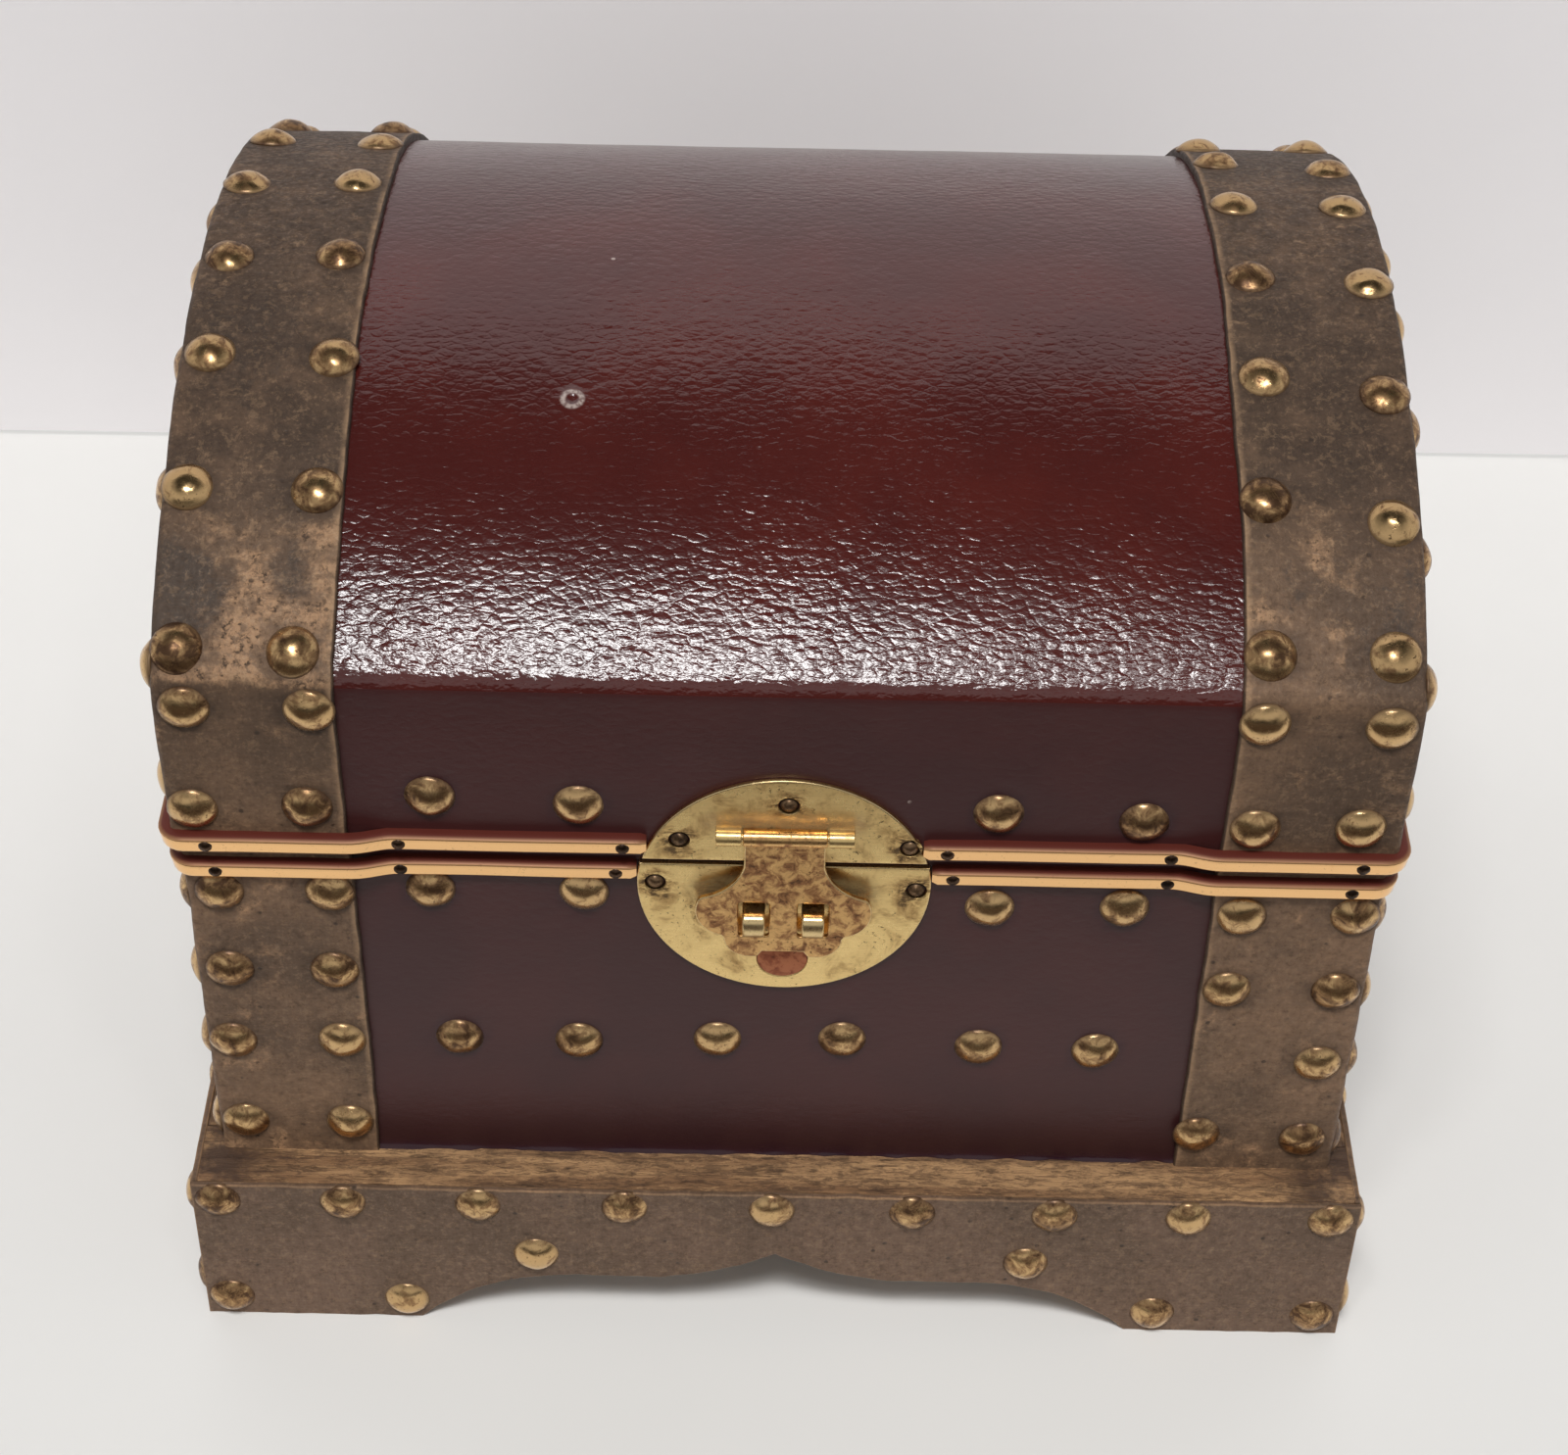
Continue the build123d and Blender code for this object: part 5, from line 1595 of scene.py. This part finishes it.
@dataclass
class Beading:
    """The half-round metal strips along both rims, stepping out over the straps."""

    rims: tuple[Rim, ...] = (
        Rim("body", Body.CHEST, 111.5 * MM, 26.0 * MM, 106 * MM, -86 * MM, 30 * MM),
        Rim("lid", Body.LID, 118.9 * MM, 24.15 * MM, 107 * MM, -87.5 * MM, 31 * MM),
    )
    height: float = 3.6 * MM
    thickness: float = 2.2 * MM
    step: float = 1.5 * MM
    ramp: float = 8 * MM
    corner: float = 2.5 * MM
    back: float = 87.5 * MM
    spacing: float = 1 * MM
    blunt: float = 0.3 * MM
    rounded: float = 0.8 * MM
    inset: float = 0.1 * MM
    dark_from: float = 0.76
    dark_over: float = 0.16

    def path(self, rim: Rim) -> tuple[np.ndarray, np.ndarray]:
        """Plan of the strip's inner face on the right side of a rim, as places and ways out."""
        half_width, front = rim.half_width, rim.front

        def step_in(distance: np.ndarray) -> np.ndarray:
            """How far the strip sits back, from its distance to the corner."""
            return self.step * smooth_step(distance, rim.strap, rim.strap + self.ramp)

        run = np.arange(rim.start, half_width - self.corner, self.spacing)
        front_leg = np.stack([run, front + step_in(half_width - run)], 1)
        bend = np.array(arc_points((half_width - self.corner, front + self.corner), self.corner, -90, 0, 7))
        climb = np.arange(front + self.corner + self.spacing, self.back, self.spacing)
        reach = np.minimum(climb - front, self.back - climb + self.spacing)
        side_leg = np.stack([half_width - step_in(reach), climb], 1)
        places = np.concatenate([front_leg, bend, side_leg])
        flow = np.gradient(places, axis=0)
        ways = np.stack([flow[:, 1], -flow[:, 0]], 1)
        return places, ways / np.linalg.norm(ways, axis=1)[:, None]

    def section(self) -> list[Point]:
        """The strip's section: out from the wall, and up. The face leans out a little to its upper edge."""
        out, up = self.thickness, self.height
        points = [(0.0, 0.0), (0.4 * out, 0.0)]
        points += arc_points((out - 0.95 * MM, 0.6 * MM), 0.6 * MM, -90, -14, 6)
        points += [(out - 0.22 * MM, 0.4 * up), (out - 0.1 * MM, 0.6 * up)]
        points += arc_points((out - 0.45 * MM, up - 0.75 * MM), 0.45 * MM, -6, 48, 6)
        points += [(out - 0.75 * MM, up - 0.12 * MM), (0.4 * out, up), (0.0, up)]
        return points

    def build(self, metal: bpy.types.Material) -> None:
        """Build the four strips.

        Args:
            metal: the strips' metal.
        """
        section = np.array(self.section())
        for seed, rim in enumerate(self.rims, start=1):
            places, ways = self.path(rim)
            count = len(places)
            travel = np.concatenate([[0], np.cumsum(np.linalg.norm(np.diff(places, axis=0), axis=1))])
            ends = (self.blunt + np.minimum(travel, travel[-1] - travel)) / self.rounded
            full = np.sqrt(np.clip(1 - (1 - np.clip(ends, 0, 1)) ** 2, 0.02, 1))
            for side in Side:
                along = np.zeros((count, 3))
                along[:, :2] = places
                lift = 0.14 * MM * ripple(along, 22 * MM, seed + side.value)
                out = 0.05 * MM * (1 + ripple(along, 16 * MM, seed + 4 + side.value))
                points = np.zeros((count, len(section), 3))
                for k, (away, up) in enumerate(section):
                    proud = np.where(away > 0, away * full + out, -self.inset)
                    centred = self.height / 2 + (up - self.height / 2) * full
                    points[:, k, 0] = side.value * (places[:, 0] + ways[:, 0] * proud)
                    points[:, k, 1] = places[:, 1] + ways[:, 1] * proud
                    points[:, k, 2] = rim.foot + centred + lift
                shape = Shape()
                # Painted reflection of the leatherette and painted shade: the top of each strip turns to
                # the metal's dark red.
                top = np.clip((section[:, 1] / self.height - self.dark_from) / self.dark_over, 0, 1)
                shape.sweep(points, grime=np.tile(top, count))
                piece = shape.make(f"{rim.owner}_beading_{side.label}", [metal], sharp=50)
                place_piece(piece, rim.body, Slot.BEADING, f"{rim.owner}_rim_strip_{side.label}")


@dataclass
class Lock:
    """The round hasp lock: a plate split at the seam, its barrel, tongue, lugs and rivet."""

    radius: float = 26.0 * MM
    middle: float = 110.2 * MM
    thickness: float = 1.0 * MM
    seam_low: float = 114.85 * MM
    seam_high: float = 117.2 * MM
    body_face: float = 84.5 * MM
    lid_face: float = 86 * MM
    barrel_radius: float = 1.6 * MM
    bore_radius: float = 0.8 * MM
    barrel_ease: float = 0.18 * MM
    barrel_y: float = 88.75 * MM
    barrel_z: float = 124.6 * MM
    end_length: float = 4.5 * MM
    centre_length: float = 14.7 * MM
    knuckle_gap: float = 0.2 * MM
    hole: float = 1.85 * MM
    tongue_back: float = 87.4 * MM
    tongue_thickness: float = 1.0 * MM
    neck_half: float = 7.1 * MM
    wing_half: float = 15.65 * MM
    wing_z: float = 105.5 * MM
    lobe_half: float = 10.5 * MM
    tip_z: float = 95.0 * MM
    notch_half: float = 4.4 * MM
    notch_rise: float = 1.4 * MM
    slot_middle: float = 5.25 * MM
    slot_half: float = 2.75 * MM
    slot_rise: float = 4.1 * MM
    lug_z: float = 104.3 * MM
    lug_y: float = 89.5 * MM
    lug_radius: float = 1.9 * MM
    lug_rise: float = 2.6 * MM
    lug_hole: float = 0.9 * MM
    lug_width: float = 4.0 * MM
    rivet_z: float = 91.84 * MM
    rivet_radius: float = 4.5 * MM
    rivet_height: float = 0.5 * MM

    def disc_part(self, upper: bool) -> list[Point]:
        """Outline of one half of the round plate."""
        cut = self.seam_high if upper else self.seam_low
        angle = math.degrees(math.asin((cut - self.middle) / self.radius))
        if upper:
            return arc_points((0, self.middle), self.radius, angle, 180 - angle, 60)
        return arc_points((0, self.middle), self.radius, 180 - angle, 360 + angle, 90)

    def build_plates(self, brass: bpy.types.Material, edge: bpy.types.Material) -> None:
        """Build the two halves of the plate, the upper one with its end knuckles."""
        halves = (
            ("upper", Body.LID, self.lid_face, "lock_nails_upper"),
            ("lower", Body.CHEST, self.body_face, "lock_nails_lower"),
        )
        for name, body, face, nails in halves:
            holes = [arc_points((p.crown.x, p.crown.z), self.hole, 360, 15, 24) for p in find_nails(nails)]
            if name == "lower":
                holes.append(arc_points((0, self.rivet_z), self.rivet_radius + 0.05 * MM, 360, 10, 36))
            shape = Shape()
            loops = [self.disc_part(name == "upper"), *holes]
            shape.add_mesh(cut_plate(loops, self.thickness, 0.28 * MM, True), Face.FRONT.matrix(face))
            if name == "upper":
                for side in Side:
                    self.add_end_knuckle(shape, side)
            piece = shape.make(f"lock_disc_{name}", [brass, edge], weighted=True)
            place_piece(piece, body, Slot.YELLOW_BRASS, f"lock_plate_{name}")

    def add_side_on(self, shape: Shape, loops: Sequence[Sequence[Point]], width: float, bevel: float,
                    low: float) -> None:
        """Add a plate drawn from the side, as distance to the front and height.

        Args:
            shape: the piece that gets it.
            loops: its outline first, then its holes.
            width: its size along X.
            bevel: radius of its edges.
            low: where it starts along X.
        """
        mesh = cut_plate(loops, width, bevel)
        mesh.flip_normals()
        shape.add_mesh(mesh, Matrix(((0, 0, 1, low), (-1, 0, 0, 0), (0, 1, 0, 0), (0, 0, 0, 1))))

    def add_end_knuckle(self, shape: Shape, side: Side) -> None:
        """Roll one end knuckle of the barrel out of the upper plate."""
        y, z, r = self.barrel_y, self.barrel_z, self.barrel_radius
        back = self.lid_face + 0.7 * self.thickness
        outline = [(back, z + 0.5 * r)]
        outline += arc_points((y, z), r, 150, -178, 36)
        outline += [(back, z)]
        bore = arc_points((y, z), self.bore_radius, 0, 345, 18)
        start = self.centre_length / 2 + self.knuckle_gap
        low = start if side is Side.RIGHT else -start - self.end_length
        self.add_side_on(shape, [outline, bore], self.end_length, 0.16 * MM, low)

    def tongue_outline(self) -> list[Point]:
        """Right half of the butterfly tongue, from the barrel down to the tip, mirrored to the left."""
        z, wing, lobe, tip = self.wing_z, self.wing_half, self.lobe_half, self.tip_z
        right = [(self.neck_half, self.barrel_z), (self.neck_half, z + 12 * MM)]
        right += arc_through((self.neck_half, z + 11.5 * MM), (self.neck_half + 2.0 * MM, z + 7.3 * MM),
                             (wing - 1.2 * MM, z + 3.9 * MM), 10)
        right += arc_through((wing - 0.6 * MM, z + 3.4 * MM), (wing, z),
                             (wing - 2.3 * MM, z - 4.2 * MM), 14)
        right += [(wing - 3.4 * MM, z - 4.9 * MM), (lobe + 0.5 * MM, z - 5.3 * MM)]
        right += arc_through((lobe + 0.1 * MM, z - 5.9 * MM), (lobe - 0.8 * MM, tip + 1.9 * MM),
                             (lobe - 4.4 * MM, tip), 10)
        right += [(self.notch_half + 0.5 * MM, tip), (self.notch_half, tip + 0.25 * MM)]
        right += [(self.notch_half - 0.7 * MM, tip + self.notch_rise)]
        return right + [(-x, y) for x, y in right[::-1]]

    def build_tongue(self, bronze: bpy.types.Material, edge: bpy.types.Material) -> None:
        """Build the tongue with its slots and centre knuckle."""
        slots = []
        for side in Side:
            x, half, rise, r = side.value * self.slot_middle, self.slot_half, self.slot_rise, 0.5 * MM
            loop: list[Point] = []
            for turn, (right, up) in enumerate(((1, 1), (-1, 1), (-1, -1), (1, -1))):
                middle = (x + right * (half - r), self.lug_z + up * (rise - r))
                loop += arc_points(middle, r, 90 * turn, 90 * turn + 90, 4)
            slots.append(loop[::-1])
        shape = Shape()
        outline = densify(self.tongue_outline(), 1.5 * MM)
        plate = cut_plate([outline, *slots], self.tongue_thickness, 0.24 * MM, True)
        shape.add_mesh(plate, Face.FRONT.matrix(self.tongue_back))
        r, bore, ease, half = self.barrel_radius, self.bore_radius, self.barrel_ease, self.centre_length / 2
        tube = [(bore, -half), (r - ease, -half), (r, ease - half), (r, half - ease), (r - ease, half),
                (bore, half), (bore, -half)]
        middle = Matrix.Translation((0, -self.barrel_y, self.barrel_z))
        shape.lathe(tube, middle @ Matrix.Rotation(math.pi / 2, 4, "Y"), 32, tone=-0.8)
        piece = shape.make("hasp_tongue_plate", [bronze, edge], weighted=True)
        place_piece(piece, Body.HASP, Slot.BRONZE, "hasp_tongue")

    def build_lugs(self, brass: bpy.types.Material) -> None:
        """Build the two lugs that stand through the slots."""
        shape = Shape()
        r = self.lug_radius
        foot = self.body_face + self.thickness
        for side in Side:
            stretch = self.lug_rise / r
            bow = arc_points((0, 0), r, -90, 90, 20)
            outline = [(foot, self.lug_z - self.lug_rise)]
            outline += [(self.lug_y + out, self.lug_z + up * stretch) for out, up in bow]
            outline += [(foot, self.lug_z + self.lug_rise)]
            eye = arc_points((self.lug_y, self.lug_z), self.lug_hole, 360, 15, 24)
            low = side.value * self.slot_middle - self.lug_width / 2
            self.add_side_on(shape, [outline, eye], self.lug_width, 0.42 * MM, low)
        piece = shape.make("lock_lug_pair", [brass], sharp=60, weighted=True)
        place_piece(piece, Body.CHEST, Slot.YELLOW_BRASS, "lock_lugs")

    def build_rivet(self, copper: bpy.types.Material) -> None:
        """Build the round copper rivet under the tongue's tip."""
        profile = cap_profile(self.rivet_radius, self.rivet_height, 8)
        profile += [(self.rivet_radius, -0.6 * self.thickness), (0, -0.6 * self.thickness)]
        base = Vector((0, -self.body_face - self.thickness, self.rivet_z))
        shape = Shape()
        shape.lathe(profile, Matrix.Translation(base) @ Matrix.Rotation(math.pi / 2, 4, "X"), 36)
        place_piece(shape.make("lock_rivet_head", [copper]), Body.CHEST, Slot.COPPER, "lock_rivet")

    def build(self, brass: bpy.types.Material, bright: bpy.types.Material, bronze: bpy.types.Material,
              copper: bpy.types.Material) -> None:
        """Build the lock.

        Args:
            brass: the plate's brass.
            bright: rubbed brass of edges, lugs and pin.
            bronze: the tongue's metal.
            copper: the rivet's metal.
        """
        self.build_plates(brass, bright)
        self.build_tongue(bronze, bright)
        self.build_lugs(bright)
        self.build_rivet(copper)
        dress_node("lock_pin", bright, 0.15 * MM)


@dataclass
class Woodwork:
    """The boards and linings inside, which keep their CAD form."""

    ease: float = 0.5 * MM
    felt_ease: float = 0.3 * MM

    def build(self, along_x: bpy.types.Material, along_y: bpy.types.Material,
              felt: bpy.types.Material) -> None:
        """Dress the boards and linings.

        Args:
            along_x: pale wood with its grain along X.
            along_y: pale wood with its grain along Y.
            felt: the lining.
        """
        for node in ("bottom_board", "body_board_front", "body_board_back", "lid_rail_front",
                     "lid_rail_back"):
            dress_node(node, along_x, self.ease)
        dress_node("lid_dome", along_x)
        for node in ("body_board_left", "body_board_right", "lid_end_left", "lid_end_right"):
            dress_node(node, along_y, self.ease)
        for node in ("body_lining", "lid_lining"):
            dress_node(node, felt, self.felt_ease)


@dataclass
class RearHinges:
    """The two butt hinges on the back, which keep their CAD form."""

    ease: float = 0.15 * MM

    def build(self, brass: bpy.types.Material, pin: bpy.types.Material) -> None:
        """Dress the leaves and pins.

        Args:
            brass: the leaves' brass.
            pin: the pins' brass.
        """
        for owner in ("body", "lid"):
            for side in Side:
                dress_node(f"hinge_{owner}_leaf_{side.label}", brass, self.ease)
        dress_node("hinge_pins", pin, self.ease)


@dataclass(frozen=True)
class Lamp:
    """One square ceiling lamp that points at the chest."""

    name: str
    place: tuple[float, float, float]
    width: float
    power: float


@dataclass
class Studio:
    """The pale ground and backdrop, the soft lights, and the camera at the photograph's angle."""

    wall_distance: float = 0.198
    wall_turn: float = 0.45
    wall_top: float = 0.62
    table_half: float = 2.4
    image_width: float = 1600.0
    focal_pixels: float = 3221.46
    sensor: float = 36.0
    eye: tuple[float, float, float] = (-0.00343, -0.48736, 0.49783)
    pitch: float = 41.11
    yaw: float = 0.391
    roll: float = 1.419
    key_lean: float = 25.0
    key_angle: float = 14.0
    key_strength: float = 1.3
    low_sky: float = 0.75
    dark: float = 0.05
    lamps: tuple[Lamp, ...] = (
        Lamp("far_left_lamp", (-0.27, -0.66, 1.54), 0.14, 2.6),
        Lamp("left_lamp", (-0.15, -0.78, 1.49), 0.10, 2.5),
        Lamp("middle_lamp", (-0.045, -0.84, 1.46), 0.10, 2.1),
        Lamp("right_lamp", (0.065, -0.78, 1.49), 0.10, 1.7),
        Lamp("far_right_lamp", (0.34, -0.84, 1.46), 0.12, 0.9),
    )

    def build(self) -> None:
        """Set up the studio."""
        self.build_ground()
        self.build_world()
        self.build_lights()
        self.build_camera()
        bpy.context.scene.view_settings.view_transform = "Standard"

    def sheet(self, name: str, corners: Sequence[tuple[float, float, float]], paper: PalePaper) -> None:
        """Add one flat sheet of the ground or backdrop."""
        mesh = bpy.data.meshes.new(name)
        mesh.from_pydata(corners, [], [(0, 1, 2, 3)])
        mesh.materials.append(paper.build())
        sheet = bpy.data.objects.new(name, mesh)
        bpy.context.scene.collection.objects.link(sheet)

    def build_ground(self) -> None:
        """Lay the floor, and stand the backdrop behind the chest."""
        w, y, top = self.table_half, self.wall_distance, self.wall_top
        floor = [(-w, -w, 0), (w, -w, 0), (w, w, 0), (-w, w, 0)]
        self.sheet("pale_floor", floor, PalePaper("pale_floor", paint(233, 232, 229), dark_from=0.17))
        slant = w * math.tan(math.radians(self.wall_turn))
        left, right = (-w, y - slant), (w, y + slant)
        wall = [(*left, 0.0008), (*right, 0.0008), (*right, top), (*left, top)]
        self.sheet("pale_wall", wall, PalePaper("pale_wall", paint(243, 240, 241), True))

    def build_world(self) -> None:
        """Light from all round, with the dark of the room in front of the table."""
        world = bpy.data.worlds.new("studio")
        bpy.context.scene.world = world
        world.use_nodes = True
        sky = Nodes(world.node_tree)
        way = sky.add("ShaderNodeTexCoord").outputs["Generated"]
        split = sky.add("ShaderNodeSeparateXYZ", inputs={0: way})
        height, depth = split.outputs["Z"], split.outputs["Y"]
        level = sky.spread(height, 0.4, 0.88, self.low_sky, self.dark)
        room = sky.times(sky.spread(depth, -0.35, -0.75), sky.spread(height, 0.02, 0.26, 1, 0))
        inputs = {"Factor": room, 2: level, 3: self.dark}
        mixed = sky.add("ShaderNodeMix", {"data_type": "FLOAT"}, inputs).outputs[0]
        light = sky.add("ShaderNodeBackground", inputs={"Strength": mixed})
        sky.add("ShaderNodeOutputWorld", inputs={"Surface": light.outputs["Background"]})

    def hang(self, name: str, kind: str, place: Vector, **settings: float) -> bpy.types.Object:
        """Hang one lamp that points at the chest."""
        data = bpy.data.lights.new(name, kind)
        for key, value in settings.items():
            setattr(data, key, value)
        lamp = bpy.data.objects.new(name, data)
        lamp.location = place
        lamp.rotation_mode = "QUATERNION"
        lamp.rotation_quaternion = (Vector((0, 0, 0.1)) - place).to_track_quat("-Z", "Y")
        bpy.context.scene.collection.objects.link(lamp)
        return lamp

    def build_lights(self) -> None:
        """Hang a broad soft light overhead, and the ceiling lamps that show in the dome and the metal."""
        lean, angle = math.radians(self.key_lean), math.radians(self.key_angle)
        away = Vector((-0.05, -math.sin(lean), math.cos(lean))).normalized()
        soft = self.hang("overhead", "SUN", away * 1.5, energy=self.key_strength, angle=angle)
        soft.visible_glossy = False
        for lamp in self.lamps:
            self.hang(lamp.name, "AREA", Vector(lamp.place), shape="SQUARE", size=lamp.width,
                      energy=lamp.power)

    def build_camera(self) -> None:
        """Set the camera where the photograph was taken."""
        pitch, yaw, roll = (math.radians(a) for a in (self.pitch, self.yaw, self.roll))
        ahead = Vector((math.sin(yaw) * math.cos(pitch), math.cos(yaw) * math.cos(pitch), -math.sin(pitch)))
        right = ahead.cross(Vector((0, 0, 1))).normalized()
        up = right.cross(ahead)
        turned_right = right * math.cos(roll) + up * math.sin(roll)
        turned_up = up * math.cos(roll) - right * math.sin(roll)
        data = bpy.data.cameras.new("camera")
        data.sensor_width = self.sensor
        data.lens = self.focal_pixels / self.image_width * self.sensor
        data.clip_start, data.clip_end = 0.01, 100
        camera = bpy.data.objects.new("camera", data)
        turn = Matrix((turned_right, turned_up, -ahead)).transposed().to_4x4()
        camera.matrix_world = Matrix.Translation(self.eye) @ turn
        bpy.context.scene.collection.objects.link(camera)
        bpy.context.scene.camera = camera


def metals() -> dict[str, bpy.types.Material]:
    """Mix every metal of the chest, by a short name."""
    plate_nails = tuple(p.crown for n in ("lock_nails_upper", "lock_nails_lower") for p in find_nails(n))
    kinds = (
        Metal("antique_brass", paint(212, 176, 126), paint(158, 124, 88), paint(74, 50, 34), gloss=0.15,
              matt=0.38, tarnish=0.84, patch=2.6 * MM, dents=0.24 * MM, pitted=0.8),
        Metal("plate_brass", paint(244, 212, 146), paint(204, 168, 112), paint(84, 64, 44), gloss=0.24,
              matt=0.46, tarnish=0.6, patch=6 * MM, dents=0.05 * MM, brushed=1.0, pitted=0.9,
              halos=plate_nails,
              # A film of dirt above the barrel, and painted shade in the recess round the tongue.
              films_and_painted_shade=(((0, -87 * MM, 126.4 * MM), 12 * MM, 4 * MM, paint(168, 136, 90)),
                     ((0, -87 * MM, 108.5 * MM), 13 * MM, 6 * MM, paint(84, 62, 40)))),
        Metal("rubbed_brass", paint(232, 204, 150), paint(198, 162, 110), paint(104, 76, 50), gloss=0.26,
              matt=0.4, tarnish=0.5, patch=3 * MM, dents=0.06 * MM, pitted=0.6),
        Metal("tongue_bronze", paint(224, 180, 120), paint(166, 120, 82), paint(80, 54, 38), gloss=0.24,
              matt=0.44, tarnish=0.82, patch=2.4 * MM, dents=0.16 * MM, brushed=0.4, pitted=1.0),
        # Its dark red also paints the leatherette's reflection and the shade on the strips' tops.
        Metal("beading_gold", paint(250, 200, 140), paint(236, 170, 108), paint(96, 40, 30), gloss=0.1,
              matt=0.22, tarnish=0.2, patch=9 * MM, dents=0.05 * MM, pitted=0.3),
        Metal("rivet_copper", paint(170, 108, 78), paint(142, 82, 60), paint(84, 50, 40), gloss=0.3,
              matt=0.45, tarnish=0.75, patch=2.4 * MM, pitted=0.7),
        Metal("dull_nail", paint(132, 106, 80), paint(98, 76, 56), paint(52, 40, 32), gloss=0.3,
              matt=0.48, tarnish=0.85, patch=1.2 * MM),
        Metal("dark_pin", paint(84, 64, 50), paint(56, 42, 32), paint(30, 22, 18), gloss=0.24,
              matt=0.42, tarnish=0.8, patch=1.2 * MM),
    )
    return {kind.name: kind.build() for kind in kinds}


def main() -> None:
    """Build the studio and the chest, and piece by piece."""
    logging.basicConfig(level=logging.INFO, format="%(name)s: %(message)s")
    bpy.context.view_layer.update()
    Studio().build()
    metal = metals()
    glossy = Leatherette(blister=(Vector((-38.4 * MM, -38.7 * MM, 180.8 * MM)),)).build()
    matt = Leatherette("maroon_leatherette_matt", paint(66, 31, 30), paint(59, 28, 28), matt=0.42,
                       shine=0.46, relief=0.3).build()
    hide = Hide("brown_hide").build()
    facing = Hide("plinth_hide", brown=paint(111, 87, 70), tan_reach=0.64).build()
    worn = Hide("worn_hide_edge", brown=paint(146, 114, 84), ash=paint(112, 88, 68)).build()
    golden = (paint(196, 154, 110), paint(146, 110, 78), paint(78, 58, 46))
    pale = (paint(214, 186, 140), paint(190, 158, 112), paint(140, 106, 70))
    golden_x = Wood("golden_wood_x", *golden, grain=(0.06, 1, 1), soiled=0.7, tips=90 * MM).build()
    golden_y = Wood("golden_wood_y", *golden, grain=(1, 0.06, 1), soiled=0.7, tips=98 * MM).build()
    pale_x = Wood("pale_board_x", *pale, grain=(0.06, 1, 1)).build()
    pale_y = Wood("pale_board_y", *pale, grain=(1, 0.06, 1)).build()
    felt = Felt().build()
    Woodwork().build(pale_x, pale_y, felt)
    Plinth().build(golden_x, golden_y, facing, worn)
    Covers().build(glossy, matt)
    Straps().build(hide)
    Beading().build(metal["beading_gold"])
    Lock().build(metal["plate_brass"], metal["rubbed_brass"], metal["tongue_bronze"], metal["rivet_copper"])
    RearHinges().build(metal["plate_brass"], metal["rubbed_brass"])
    Studwork().build(metal["antique_brass"], metal["dark_pin"], metal["dull_nail"])


if __name__ == "__main__":
    main()
